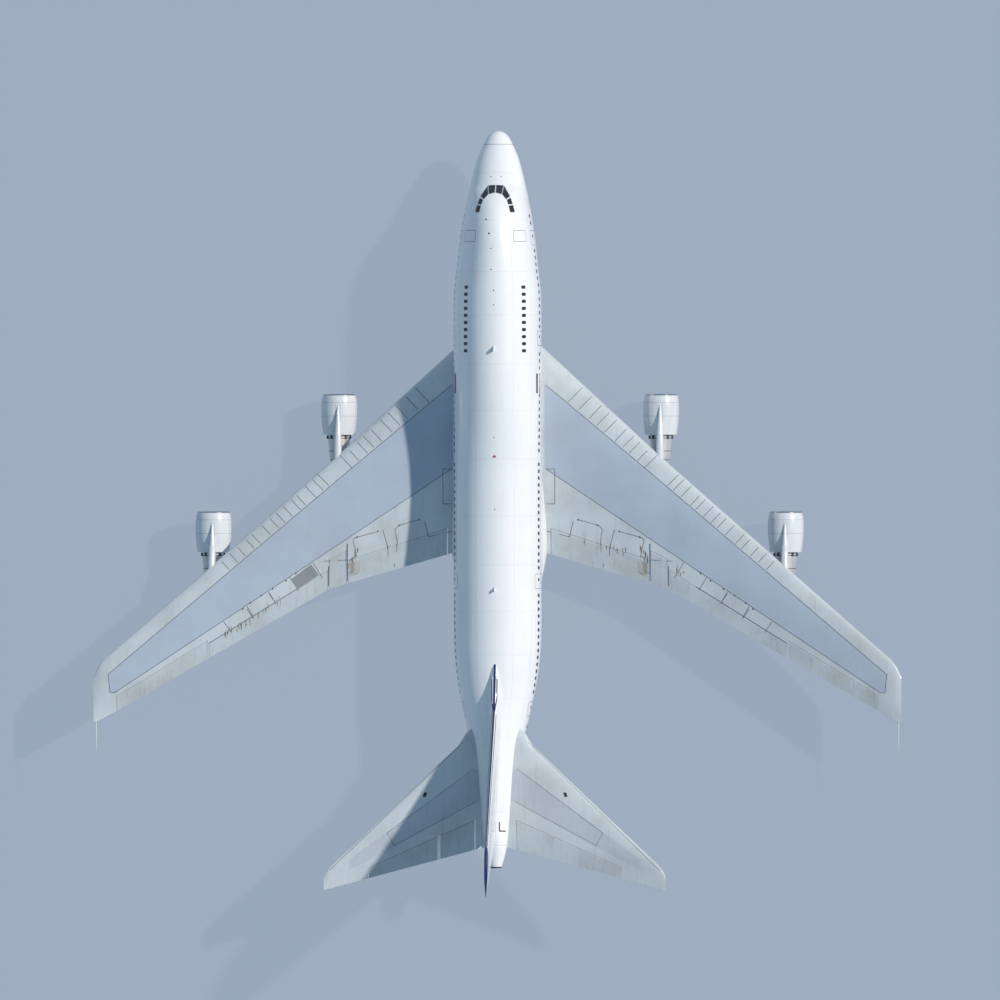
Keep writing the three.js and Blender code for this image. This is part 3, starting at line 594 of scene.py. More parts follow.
# Cabin windows: small rounded panes set in pressed rings, one between each pair of
# frames along the main deck and a short row each side of the upper deck.
WINDOW_PITCH = 0.508
window_ring = flown_material("window_ring", (0.62, 0.63, 0.65), (0.35, 0.34, 0.33), 0.2, 0.2, 0.1, 0.35)
window_points, window_faces, ring_lines = [], [], []
window_spots = []
for side in (1, -1):
    station = 6.3
    while station < 46.2:
        near_door = any(abs(station - d) < 0.80 for d in DOOR_STATIONS)
        if not near_door and not 24.0 < station < 24.4:
            window_spots.append((station, 6.30, side, 0.25, 0.36))
        station += WINDOW_PITCH
    for door in DOOR_STATIONS:
        window_spots.append((door - 0.12, 6.30, side, 0.20, 0.28))
    for k in range(10):
        window_spots.append((11.55 + k * 0.52, 8.69, side, 0.23, 0.34))
for station, height, side, wide, tall in window_spots:
    outline = rounded_outline(wide, tall, min(wide, tall) * 0.42, 4)[:-1]
    first = len(window_points)
    here, normal = hull_spot(station, hull_angle(station, height, side))
    window_points.append(here + normal * 0.002)
    for along, up in outline:
        p, n = hull_spot(station + along, hull_angle(station + along, height + up, side))
        window_points.append(p + n * 0.002)
    for i in range(len(outline)):
        window_faces.append((first, first + 1 + i, first + 1 + (i + 1) % len(outline)))
    ring_lines.append(on_side(
        station, height, side, rounded_outline(wide + 0.03, tall + 0.03, min(wide, tall) * 0.42, 4)
    ))
cabin_panes = make_piece("cabin_window_panes", window_points, window_faces, [pane_dark], "airframe")
points, faces = strip_mesh(ring_lines, 0.012, 0.004)
cabin_rings = make_piece("cabin_window_rings", points, faces, [window_ring], "airframe")

# Colour bars: one dark and one red bar painted on each side of the hull above the wing.
bar_dark = flown_material(
    "bar_dark", (0.010, 0.028, 0.034), (0.05, 0.05, 0.05), 0.1, 0.1, 0.05, 0.4, coat=0.1
)
bar_red = flown_material(
    "bar_red", (0.52, 0.12, 0.13), (0.2, 0.15, 0.15), 0.1, 0.1, 0.05, 0.3, coat=0.4
)
for label, lateral, width, material in (("dark", 2.96, 0.10, bar_dark), ("red", 3.13, 0.06, bar_red)):
    points, faces = [], []
    for side in (1, -1):
        corners = [(17.9, lateral), (19.35, lateral), (19.35, lateral + width), (17.9, lateral + width)]
        some, patch = patch_on_hull(corners, side, 0.0025, 6)
        faces += [tuple(i + len(points) for i in f) for f in patch]
        points += some
    bar = make_piece(f"hull_bar_{label}", points, faces, [material], "airframe")

# Crown and belly fittings: blade aerials, flush dots and the two flashing beacons, then
# painted shadow along the left and rear edges of the vent in the tail and the soot on
# the exhaust rim.
fitting_white = flown_material(
    "fitting_white", (0.78, 0.79, 0.80), (0.35, 0.33, 0.3), 0.1, 0.2, 0.1, 0.4
)
fitting_dark = flown_material(
    "fitting_dark", (0.06, 0.065, 0.075), (0.15, 0.14, 0.13), 0.1, 0.2, 0.1, 0.45
)
beacon_red = flown_material(
    "beacon_red", (0.45, 0.02, 0.02), (0.2, 0.05, 0.05), 0.1, 0.05, 0.05, 0.12, coat=1.0
)


def blade_aerial(name, station, lateral, length, height, down=False):
    """A swept blade with a rounded plan, standing on the crown or under the belly."""
    half, wide, low, high = hull_frame(station)
    foot = low if down else wide + (high - wide) * math.sqrt(max(0.0, 1 - (lateral / half) ** 2))
    sign = -1 if down else 1
    rings = []
    for level in (-0.02, 0.0, 0.35, 0.7, 0.93, 1.0):
        chord = length * (1 - 0.45 * max(level, 0)) * (0.75 if level == 1.0 else 1.0)
        front = station + length * 0.55 * max(level, 0)
        thick = 0.05 * (1 - 0.5 * max(level, 0))
        for i in range(12):
            a = i / 12 * 2 * math.pi
            rings.append(spot(lateral + thick * 0.5 * math.sin(a), front + chord * (0.5 - 0.5 * math.cos(a)),
                              foot + sign * height * level))
    faces = ring_faces(6, 12) + [tuple(5 * 12 + i for i in range(12))]
    piece = make_piece(name, rings, faces, [fitting_white], "airframe")


blade_aerial("crown_aerial_forward", 15.85, 0.02, 0.42, 0.42)
blade_aerial("crown_aerial_aft", 33.6, 0.02, 0.34, 0.34)
blade_aerial("belly_aerial_forward", 11.0, 0.0, 0.42, 0.36, down=True)
blade_aerial("belly_aerial_aft", 43.5, 0.0, 0.30, 0.26, down=True)


DISC_SIDES = 16


def crown_disc(points, faces, station, lateral, radius, lift):
    first = len(points)
    for i in range(DISC_SIDES):
        a = i / DISC_SIDES * 2 * math.pi
        s, l = station + radius * math.cos(a), lateral + radius * math.sin(a)
        p, n = hull_spot(s, top_angle(s, l))
        points.append(p + n * lift)
    faces.append(tuple(first + i for i in range(DISC_SIDES)))


points, faces = [], []
for station, lateral, radius in (
    (3.39, -0.36, 0.035), (3.39, 0.37, 0.035), (6.56, 0.60, 0.06), (7.60, 0.37, 0.07), (8.70, 0.22, 0.045),
    (10.25, 0.20, 0.045), (11.78, 0.02, 0.05), (12.86, 0.02, 0.045), (22.6, 0.03, 0.04), (27.9, 0.0, 0.045),
):
    crown_disc(points, faces, station, lateral, radius, 0.004)
dots = make_piece("crown_fitting_dots", points, faces, [fitting_dark], "airframe", smooth=False)
for name, station, down in (("beacon_crown", 24.0, False), ("beacon_belly", 20.0, True)):
    half, wide, low, high = hull_frame(station)
    foot = 1.75 if down else high
    points = []
    for level in range(7):
        a = level / 6 * math.pi / 2
        for i in range(20):
            b = i / 20 * 2 * math.pi
            r = 0.09 * math.cos(a) * (1.0 if level else 1.15)
            points.append(spot(
                r * math.cos(b), station + r * math.sin(b), foot + (-1 if down else 1) * 0.12 * math.sin(a)
            ))
    piece = make_piece(name, points, ring_faces(7, 20), [beacon_red], "airframe")

# Painted shadow: two dark strips on the skin along the left and rear edges of the tail vent, as (station, lateral)
# ends.
TAIL_VENT_SHADOW_EDGES = (((50.92, -0.30), (51.60, -0.31)), ((51.58, -0.27), (51.60, -0.74)))
EXHAUST_RIM = 54.27
vent_shadow_strips = []
for (s0, l0), (s1, l1) in TAIL_VENT_SHADOW_EDGES:
    edge = [(s0 + (s1 - s0) * k / 6, l0 + (l1 - l0) * k / 6) for k in range(7)]
    vent_shadow_strips.append([hull_spot(station, top_angle(station, lateral)) for station, lateral in edge])
# One near-black for both the painted shadow at the tail vent and the real soot on the exhaust rim.
soot_and_shadow_dark = flown_material("soot_and_shadow_dark", (0.015, 0.016, 0.02), (0.05, 0.05, 0.05), 0.2, 0.2, 0.1, 0.6)
points, faces = strip_mesh(vent_shadow_strips, 0.045, 0.003)
make_piece("tail_vent_painted_shadow", points, faces, [soot_and_shadow_dark], "airframe")
rim = [[hull_spot(EXHAUST_RIM, angle) for angle in np.linspace(0.15, math.pi - 0.15, 25)]]
points, faces = strip_mesh(rim, 0.05, 0.003)
make_piece("exhaust_rim_soot", points, faces, [soot_and_shadow_dark], "airframe")

# Belly fairing: glass-fibre panels, screwed on, that blend the wing roots and the centre
# section into the hull.
FAIRING_FRAMES = np.array([
    [12.6, 1.20, 2.60, 2.05, 3.10], [15.0, 2.60, 2.80, 1.90, 3.70], [17.5, 3.45, 3.00, 1.80, 4.30],
    [21.0, 3.60, 3.00, 1.75, 4.40], [27.0, 3.60, 3.00, 1.75, 4.40], [30.5, 3.55, 3.00, 1.75, 4.30],
    [32.8, 3.20, 2.95, 1.82, 4.00], [34.6, 2.30, 2.80, 1.93, 3.40], [35.6, 1.20, 2.75, 2.10, 3.20],
])
fairing_grey = flown_material(
    "fairing_grey", (0.70, 0.72, 0.73), (0.30, 0.28, 0.25), 0.2, 0.35, 0.15, 0.35, coat=0.2
)
hull_piece(
    "belly_fairing_skin", np.linspace(12.6, 35.6, 90), fairing_grey, "wing_body_fairing",
    FAIRING_FRAMES
)

# Wings: swept aluminium boxes with riveted skins. The box between the spars is painted a
# darker grey; nose panels, flap shrouds and tips are a lighter grey. Ribs in full-size
# metres: span place, leading edge, trailing edge, height, thickness.
WING_RIBS = np.array([
    [2.20, 15.05, 30.76, 2.90, 2.00], [3.38, 16.10, 31.10, 3.01, 1.92], [
        12.35, 24.36, 33.70, 3.93, 1.00
    ],
    [
        29.00, 38.93, 43.26, 5.64, 0.36
    ], [29.50, 39.55, 43.50, 5.69, 0.28], [29.82, 40.30, 43.60, 5.72, 0.12],
])
EDGE_HALF = 0.012
BOX_FRONT = ([3.47, 10.80, 13.38, 29.0], [18.72, 24.84, 27.02, 40.31])
BOX_REAR = ([3.50, 9.11, 14.86, 28.23], [24.93, 28.69, 32.52, 41.42])
# A moving surface: its two ends, the hinge stations there, and the gap at each end.
FLAP_INNER = ([3.80, 11.16], [29.40, 31.75], [0.07, 0.07])
AILERON_INNER = ([11.21, 12.53], [31.05, 31.70], [0.075, 0.075])
FLAP_OUTER = ([12.59, 21.37], [32.48, 37.90], [0.075, 0.07])
AILERON_OUTER = ([21.44, 28.15], [37.66, 41.76], [0.06, 0.05])
COVE_GAP = 0.022
# Chordwise steps in a skin's nose, box and rear parts, and how many of the nose steps are
# its very edge. A paint rule is told the part: 0 nose, 1 box, 2 rear, 3 the very edge.
NOSE_STEPS, BOX_STEPS, AFT_STEPS, EDGE_STEPS = 12, 10, 8, 3
wing_light = flown_material(
    "wing_light", (0.57, 0.62, 0.65), (0.24, 0.24, 0.23), 0.30, 0.25, 0.22, 0.34, coat=0.15
)
wing_box_grey = flown_material(
    "wing_box_grey", (0.43, 0.50, 0.59), (0.30, 0.32, 0.37), 0.30, 0.08, 0.20, 0.38, coat=0.1
)
flap_grey = flown_material(
    "flap_grey", (0.52, 0.57, 0.60), (0.22, 0.20, 0.17), 0.34, 0.38, 0.25, 0.36, coat=0.1
)
outline_dark = flown_material(
    "outline_dark", (0.16, 0.18, 0.21), (0.08, 0.08, 0.08), 0.3, 0.3, 0.1, 0.5
)
lap_pale = flown_material("lap_pale", (0.66, 0.68, 0.70), (0.40, 0.40, 0.40), 0.3, 0.3, 0.1, 0.4)


def section_half(u):
    u = max(0.0, min(1.0, u))
    return 5 * (0.2969 * math.sqrt(u) - 0.126 * u - 0.3516 * u**2 + 0.2843 * u**3 - 0.1036 * u**4)


def rib_at(ribs, span):
    return [float(np.interp(span, ribs[:, 0], ribs[:, c])) for c in range(1, 5)]


def foil_half(rib, station):
    u = (station - rib[0]) / (rib[1] - rib[0])
    return section_half(u) * rib[3] + EDGE_HALF * max(0.0, min(1.0, u))


def foil_spot(ribs, span, station, face, side, upright=False):
    """A point on a wing or fin skin; face is +1 for the top (or port) skin, -1 for the other."""
    rib = rib_at(ribs, span)
    half = foil_half(rib, station)
    if upright:
        return spot(face * half, station, span)
    return spot(side * span, station, rib[2] + face * half)


def foil_ring(ribs, span, split, bay, side, upright):
    rib = rib_at(ribs, span)
    chord = rib[1] - rib[0]
    end = rib[1]
    if bay is not None:
        hinge = float(np.interp(span, bay[0], bay[1]))
        radius = foil_half(rib, hinge)
        slope = (bay[1][1] - bay[1][0]) / (bay[0][1] - bay[0][0])
        stretch = math.hypot(1, slope)
        reach = radius + COVE_GAP
        end = hinge - stretch * math.sqrt(reach**2 - radius**2)
    front, rear = split(span)
    front = max(front, rib[0] + 0.06 * chord)
    rear = min(max(rear, front + 0.1 * chord), end - 0.02 * chord)
    stations = [rib[0] + (front - rib[0]) * (k / NOSE_STEPS) ** 2.2 for k in range(NOSE_STEPS + 1)]
    stations += [front + (rear - front) * k / BOX_STEPS for k in range(1, BOX_STEPS + 1)]
    stations += [rear + (end - rear) * k / AFT_STEPS for k in range(1, AFT_STEPS + 1)]
    ring = [foil_spot(ribs, span, at, 1, side, upright) for at in reversed(stations)]
    ring += [foil_spot(ribs, span, at, -1, side, upright) for at in stations[1:]]
    if bay is not None:
        lip = math.asin(radius / reach)
        for k in range(1, 8):
            a = -lip + 2 * lip * k / 8
            x, h = hinge - stretch * reach * math.cos(a), reach * math.sin(a)
            ring.append(spot(h, x, span) if upright else spot(side * span, x, rib[2] + h))
    return ring


def foil_skin(name, ribs, zones, split, materials, choose, side, upright, node):
    """A wing, tailplane or fin skin made of spanwise zones, each with or without a bay."""
    points, faces, painted, flat = [], [], [], []
    for start, end, bay in zones:
        steps = max(2, int(abs(end - start) / 0.45))
        spans = sorted(set(list(np.linspace(start, end, steps + 1)) + [
            r for r in ribs[:, 0] if start < r < end
        ]))
        first = len(points)
        rings = [foil_ring(ribs, span, split, bay, side, upright) for span in spans]
        count = len(rings[0])
        for ring in rings:
            points += ring
        for r in range(len(rings) - 1):
            middle = (spans[r] + spans[r + 1]) / 2
            for i in range(count):
                a, b = first + r * count + i, first + r * count + (i + 1) % count
                faces.append((a, b, b + count, a + count))
                top = i < NOSE_STEPS + BOX_STEPS + AFT_STEPS
                back = i if top else 2 * (NOSE_STEPS + BOX_STEPS + AFT_STEPS) - 1 - i
                part = 2 if back < AFT_STEPS else 1 if back < AFT_STEPS + BOX_STEPS else 0
                if back >= NOSE_STEPS + BOX_STEPS + AFT_STEPS - EDGE_STEPS:
                    part = 3
                painted.append(choose(middle, part))
                flat.append(False)
        last = first + (len(rings) - 1) * count
        for at, cap in (
            (start, tuple(range(first, first + count))),
            (end, tuple(range(last + count - 1, last - 1, -1)))
        ):
            faces.append(cap)
            painted.append(choose(at, 2))
            flat.append(True)
    piece = make_piece(name, points, faces, materials, "airframe", painted)
    piece.data.polygons.foreach_set("use_smooth", [not f for f in flat])
    piece.data.set_sharp_from_angle(angle=math.radians(40))
    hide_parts(node)
    return piece


def bays_of(first, last, surfaces):
    """Spanwise zones from first to last, with a bay behind each moving surface."""
    zones, at = [], first
    for surface in surfaces:
        start, end = surface[0]
        if start - at > 0.005:
            zones.append((at, start, None))
        zones.append((start, end, surface))
        at = end
    zones.append((at, last, None))
    return zones


def foil_line(ribs, knots, side, face=1, upright=False, pace=0.3):
    """Points and normals along a line of (span, station) knots laid on a skin."""
    line = []
    for (a, s), (b, t) in zip(knots, knots[1:]):
        steps = max(2, int(math.hypot(b - a, t - s) / pace))
        for k in range(steps + 1):
            span, station = a + (b - a) * k / steps, s + (t - s) * k / steps
            here = np.array(foil_spot(ribs, span, station, face, side, upright))
            along = np.array(foil_spot(ribs, span + 0.05, station, face, side, upright)) - here
            behind = np.array(foil_spot(ribs, span, station + 0.05, face, side, upright)) - here
            normal = np.cross(along, behind)
            normal /= max(np.linalg.norm(normal), 1e-9)
            out = np.array([face, 0, 0]) if upright else np.array([0, 0, face])
            line.append((here, normal if np.dot(normal, out) > 0 else -normal))
    return line


def wing_split(span):
    return float(np.interp(span, *BOX_FRONT)), float(np.interp(span, *BOX_REAR))


def wing_paint(span, part):
    return 1 if part == 1 and 3.45 < span < 28.75 else 0


LEADING_DIVISIONS = [
    ((6.18, 18.93), (5.16, 19.98)), ((6.87, 19.58), (5.94, 20.55)),
    ((7.59, 20.24), (6.72, 21.2)), ((8.17, 20.77), (7.27, 21.72)),
    ((8.73, 21.31), (7.84, 22.21)), ((9.43, 21.99), (8.61, 22.89)),
    ((9.99, 22.51), (9.2, 23.33)), ((10.44, 22.95), (9.65, 23.78)),
    ((11.0, 23.57), (10.3, 24.3)), ((11.71, 23.92), (10.81, 24.84)),
    ((13.35, 25.32), (12.5, 26.16)), ((13.74, 25.7), (12.92, 26.5)),
    ((14.28, 26.18), (13.49, 26.99)), ((14.89, 26.87), (14.22, 27.6)),
    ((15.31, 27.18), (14.59, 27.94)), ((15.89, 27.69), (15.17, 28.43)),
    ((16.42, 28.16), (15.72, 28.89)), ((16.86, 28.57), (16.18, 29.28)),
    ((17.45, 29.10), (16.79, 29.79)), ((18.18, 29.75), (17.54, 30.43)),
    ((18.61, 30.14), (17.98, 30.80)), ((19.24, 30.70), (18.64, 31.35)),
    ((19.79, 31.19), (19.20, 31.83)), ((20.40, 31.74), (19.83, 32.36)),
]
MOVING_WING = {
    "flap_inboard": FLAP_INNER, "aileron_inboard": AILERON_INNER,
    "flap_outboard": FLAP_OUTER, "aileron_outboard": AILERON_OUTER,
}


def riding_pieces(name, points, faces, material, label, side):
    """One piece for the strips on the fixed wing and one for those on each moving surface."""
    shares = {}
    for face in faces:
        middle = np.mean([points[i] for i in face], axis=0)
        span, station = side * middle[0] / METRE, (middle[1] - NOSE_Y) / METRE
        body = "airframe"
        for surface_name, surface in MOVING_WING.items():
            start, end = surface[0]
            if start < span < end and station > np.interp(span, surface[0], surface[1]):
                body = f"{surface_name}_{label}"
        shares.setdefault(body, []).append(face)
    for body, kept in shares.items():
        used = sorted({i for face in kept for i in face})
        order = {old: new for new, old in enumerate(used)}
        piece_name = name if body == "airframe" else f"{name}_on_{body}"
        kept = [tuple(order[i] for i in face) for face in kept]
        make_piece(piece_name, [points[i] for i in used], kept, [material], body)


SPOILER_LINES = [
    [(5.86, 28.67), (7.39, 29.08)],
    [(5.49, 28.76), (5.22, 29.93), (3.46, 29.51)],
    [(7.39, 29.08), (7.66, 29.39), (7.51, 30.2), (7.57, 31.19), (7.78, 31.37), (7.71, 32.18)],
    [(8.56, 29.39), (8.2, 30.74), (8.16, 31.55), (7.78, 31.51)],
    [
        (8.87, 29.53), (10.45, 29.95), (10.76, 30.11), (10.49, 31.37), (10.78, 31.46), (10.81, 32.45),
        (11.12, 32.63)
    ],
    [(11.16, 30.47), (11.17, 31.64)],
    [(11.16, 31.64), (12.89, 31.73)],
    [(13.7, 31.82), (12.98, 32.99)],
    [(15.41, 32.9), (14.78, 33.89)],
    [(16.94, 33.98), (16.44, 34.85)],
    [(18.53, 35.07), (18.06, 35.88)],
    [(20.25, 36.19), (19.69, 36.98)], [(18.56, 35.24), (18.05, 35.97)], [(16.92, 34.14), (16.41, 34.88)],
    [(14.60, 33.60), (21.35, 37.78)],
]
HINGE_DOTS = [
    (5.86, 28.67), (7.33, 29.08), (8.92, 29.53), (10.44, 29.95), (16.67, 33.77), (18.3, 34.8),
    (14.96, 32.63), (15.68, 33.17), (17.49, 34.26), (18.84, 35.25)
]
BOX_OUTLINE = [
    (3.47, 18.72), (10.80, 24.84), (13.38, 27.02), (28.75, 40.08), (28.60, 41.40),
    (28.23, 41.40), (14.86, 32.52), (9.11, 28.69), (3.50, 24.93),
]
for label, side in (("left", 1), ("right", -1)):
    wing_zones = bays_of(2.20, 29.82, [FLAP_INNER, AILERON_INNER, FLAP_OUTER, AILERON_OUTER])
    foil_skin(f"wing_skin_{label}", WING_RIBS, wing_zones, wing_split, [wing_light, wing_box_grey], wing_paint,
              side, False, f"wing_{label}")
    dark_lines, pale_lines, under_lines = [], [], []
    dark_lines.append(foil_line(WING_RIBS, BOX_OUTLINE, side))
    dark_lines.append(foil_line(
        WING_RIBS, [(3.50, 24.93), (4.13, 24.93), (4.13, 27.5), (3.50, 27.5)], side
    ))
    for front, rear in LEADING_DIVISIONS:
        if front[0] < 28.6:
            dark_lines.append(foil_line(WING_RIBS, [front, rear], side, pace=0.06))
            pale_lines.append(foil_line(
                WING_RIBS, [(front[0] + 0.09, front[1] + 0.06), (rear[0] + 0.05, rear[1] + 0.03)], side,
                pace=0.06
            ))
    for knots in SPOILER_LINES:
        dark_lines.append(foil_line(WING_RIBS, knots, side))
    for k in range(14):
        span = 4.6 + 1.72 * k
        front, rear = wing_split(span)
        under_lines.append(foil_line(WING_RIBS, [(span, front), (span - 0.3, rear)], side, -1))
    under_lines.append(foil_line(WING_RIBS, BOX_OUTLINE, side, -1))
    dot_points, dot_faces = [], []
    for span, station in HINGE_DOTS:
        here, normal = foil_line(WING_RIBS, [(span, station), (span + 0.1, station)], side)[0]
        first = len(dot_points)
        for lift, reach in ((0.0, 0.034), (0.006, 0.028)):
            dot_points += [
                here + normal * lift + reach * np.array((math.cos(a), math.sin(a), 0))
                for a in np.linspace(0, 2 * math.pi, 12, endpoint=False)
            ]
        dot_faces += ring_faces(2, 12, first) + [tuple(range(first + 12, first + 24))]
    make_piece(f"spoiler_hinges_{label}", dot_points, dot_faces, [fitting_dark], "airframe")
    for kind, lines, width, material in (
        (
            "outline", dark_lines, 0.026, outline_dark
        ), ("laps", pale_lines, 0.014, lap_pale), ("under", under_lines, 0.012, outline_dark),
    ):
        points, faces = strip_mesh(lines, width, 0.0015)
        riding_pieces(f"wing_{kind}_{label}", points, faces, material, label, side)

# Wing wear: one replaced spoiler panel left in bare grey on the port wing, brown oil and
# soot stains along the hinge gaps and a smear on each inboard flap, then painted shade as
# dark strips on the fixed ribs at each end of the inboard aileron.
panel_grey = flown_material("panel_grey", (0.27, 0.28, 0.30), (0.16, 0.16, 0.16), 0.3, 0.3, 0.2, 0.42)
stain_brown = flown_material("stain_brown", (0.30, 0.25, 0.19), (0.13, 0.10, 0.07), 0.6, 0.6, 0.4, 0.6)


def gather(parts):
    """Joins several (points, faces) pairs into one."""
    points, faces = [], []
    for more_points, more_faces in parts:
        first = len(points)
        points += list(more_points)
        faces += [tuple(first + i for i in face) for face in more_faces]
    return points, faces


def foil_patch(ribs, corners, side, face, lift, steps=8):
    """A thin sheet on a skin between four (span, station) corners."""
    points = []
    (a, b, c, d) = [np.array(corner, float) for corner in corners]
    for i in range(steps + 1):
        for j in range(steps + 1):
            u, v = i / steps, j / steps
            span, station = (a * (1 - u) + b * u) * (1 - v) + (d * (1 - u) + c * u) * v
            here = np.array(foil_spot(ribs, span, station, face, side))
            points.append(here + np.array([0, 0, face * lift]))
    return points, ring_faces(steps + 1, steps + 1, closed=False)


panel = foil_patch(
    WING_RIBS, [(15.34, 33.09), (13.83, 31.96), (13.25, 32.74), (14.83, 33.82)], 1, 1, 0.002
)
make_piece("bare_spoiler_panel", *panel, [panel_grey], "airframe")
smear_pale = flown_material("smear_pale", (0.46, 0.48, 0.47), (0.30, 0.26, 0.22), 0.5, 0.6, 0.4, 0.5)
smear_brown = flown_material("smear_brown", (0.37, 0.34, 0.31), (0.20, 0.16, 0.12), 0.6, 0.7, 0.5, 0.55)
# The bluish near-black of the painted shade in the gaps at each end of the inboard aileron.
joint_dark_and_gap_shade = flown_material("joint_dark_and_gap_shade", (0.07, 0.08, 0.10), (0.04, 0.04, 0.04), 0.3, 0.3, 0.1, 0.6)
# Corners of the two smears on the inboard flap, and the lines of painted shade on the fixed
# ribs at each end of the inboard aileron, as (span, station).
SMEAR_OUTER = [(10.20, 31.66), (11.02, 31.86), (10.98, 32.90), (10.30, 32.60)]
SMEAR_INNER = [(10.62, 31.80), (10.98, 31.90), (10.92, 32.72), (10.70, 32.60)]
GAP_SHADE_LINES = ([(11.185, 30.42), (11.185, 33.20)], [(12.56, 32.10), (12.56, 33.56)])
stain_dice = np.random.default_rng(7)
for label, side, runs in (
    (
        "left", 1,
        [
            ((10.4, 30.9), (11.1, 31.9), 16), ((18.3, 36.1), (20.2, 37.1), 22),
            ((15.6, 34.2), (17.9, 35.6), 10)
        ]
    ),
    (
        "right", -1,
        [
            ((10.45, 30.7), (11.1, 31.8), 16), ((13.1, 32.2), (13.9, 32.9), 8),
            ((6.2, 30.1), (9.4, 31.0), 9)
        ]
    ),
):
    stains = []
    for (span0, st0), (span1, st1), count in runs:
        for k in range(count):
            share = stain_dice.uniform(0, 1)
            span = span0 + share * (span1 - span0)
            station = st0 + share * (st1 - st0) + stain_dice.uniform(-0.35, 0.15)
            long, wide = stain_dice.uniform(0.10, 0.5), stain_dice.uniform(0.015, 0.06)
            limit = rib_at(WING_RIBS, span)[1] - 0.05
            corners = [
                (span - wide, station), (span + wide, station),
                (span + wide * 0.4, min(station + long, limit)),
                (span - wide * 0.4, min(station + long, limit))
            ]
            stains.append(foil_patch(WING_RIBS, corners, side, 1, 0.0022, 2))
    riding_pieces(f"wing_stains_{label}", *gather(stains), stain_brown, label, side)
    smear = foil_patch(WING_RIBS, SMEAR_OUTER, side, 1, 0.0014, 6)
    make_piece(f"flap_smear_{label}", *smear, [smear_pale], f"flap_inboard_{label}")
    smear = foil_patch(WING_RIBS, SMEAR_INNER, side, 1, 0.0020, 6)
    make_piece(f"flap_smear_inner_{label}", *smear, [smear_brown], f"flap_inboard_{label}")
    # Painted shade: dark strips on the fixed ribs in the gaps at each end of the inboard aileron.
    gap_shade_lines = [foil_line(WING_RIBS, knots, side) for knots in GAP_SHADE_LINES]
    points, faces = strip_mesh(gap_shade_lines, 0.030, 0.003)
    make_piece(f"aileron_gap_painted_shade_{label}", points, faces, [joint_dark_and_gap_shade], "airframe")

# Wing fittings: lamps in the tip edges, static wicks behind the ailerons, fuel
# panel caps under the box and the thin rear probe bar on each tip.
lamp_glass = flown_material(
    "lamp_glass", (0.50, 0.54, 0.56), (0.3, 0.3, 0.3), 0.1, 0.1, 0.05, 0.06, coat=1.0
)


def tube(path, radius, sides=12, squash=1.0):
    """A round bar through the points of a path, with flat ends."""
    path = [np.array(p, float) for p in path]
    points = []
    for i, p in enumerate(path):
        along = path[min(i + 1, len(path) - 1)] - path[max(i - 1, 0)]
        along /= np.linalg.norm(along)
        across = np.cross(along, (0, 0, 1) if abs(along[2]) < 0.9 else (0, 1, 0))
        across /= np.linalg.norm(across)
        up = np.cross(across, along)
        r = radius[i] if hasattr(radius, "__len__") else radius
        for k in range(sides):
            a = 2 * math.pi * (k + 0.5) / sides
            points.append(p + across * r * math.cos(a) + up * r * squash * math.sin(a))
    faces = ring_faces(len(path), sides)
    last = (len(path) - 1) * sides
    faces.append(tuple(reversed(range(sides))))
    faces.append(tuple(last + k for k in range(sides)))
    return points, faces


def box_between(low, high, bevel=0.0):
    """A block between two corners, its upright edges cut back by the bevel."""
    (x0, y0, z0), (x1, y1, z1) = low, high
    x0, x1, y0, y1, z0, z1 = min(x0, x1), max(x0, x1), min(y0, y1), max(y0, y1), min(z0, z1), max(z0, z1)
    outline = [
        (x0 + bevel, y0), (x1 - bevel, y0), (x1, y0 + bevel), (x1, y1 - bevel),
        (x1 - bevel, y1), (x0 + bevel, y1), (x0, y1 - bevel), (x0, y0 + bevel),
    ] if bevel else [(x0, y0), (x1, y0), (x1, y1), (x0, y1)]
    count = len(outline)
    points = [(x, y, z0) for x, y in outline] + [(x, y, z1) for x, y in outline]
    return points, ring_faces(2, count) + [
        tuple(reversed(range(count))), tuple(range(count, 2 * count))
    ]


for label, side in (("left", 1), ("right", -1)):
    probe = tube([
        spot(side * 29.62, 43.2, 5.70), spot(side * 29.62, 45.0, 5.70), spot(side * 29.62, 46.1, 5.70)
    ],
                 [0.014, 0.011, 0.006])
    make_piece(f"tip_probe_{label}", *probe, [fitting_white], "airframe")
    wicks = []
    for k in range(5):
        span = 28.45 + 0.27 * k
        rib = rib_at(WING_RIBS, span)
        wicks.append(tube(
            [spot(side * span, rib[1] - 0.05, rib[2]), spot(side * span, rib[1] + 0.16, rib[2])], 0.004, 6
        ))
    make_piece(f"static_wicks_{label}", *gather(wicks), [fitting_dark], "airframe")
    lamp = []
    for k in range(7):
        span = 28.55 + 0.14 * k
        rib = rib_at(WING_RIBS, span)
        lamp.append(spot(side * span, rib[0] + 0.03, rib[2]))
    radii = [0.010, 0.022, 0.028, 0.03, 0.028, 0.020, 0.008]
    make_piece(f"tip_lamp_{label}", *tube(lamp, radii, 16), [lamp_glass], "airframe")
    caps_under = []
    for k in range(16):
        span = 5.4 + 1.42 * k
        front, rear = wing_split(span)
        here, normal = foil_line(
            WING_RIBS, [(span, (front + rear) / 2), (span + 0.1, (front + rear) / 2)], side, -1
        )[0]
        caps_under.append(tube([here - normal * 0.002, here + normal * 0.003], 0.055, 20, 0.62))
    make_piece(f"tank_panels_{label}", *gather(caps_under), [wing_light], "airframe")

# Moving surfaces: bonded skins over honeycomb on offset hinges, in wing grey, and the
# white rudders. Their shape is the real one, so each gets its finish and soft edges.
tail_white = flown_material(
    "tail_white", (0.80, 0.81, 0.82), (0.42, 0.41, 0.39), 0.14, 0.22, 0.08, 0.26, coat=0.4
)


SHARP_EDGE = 32


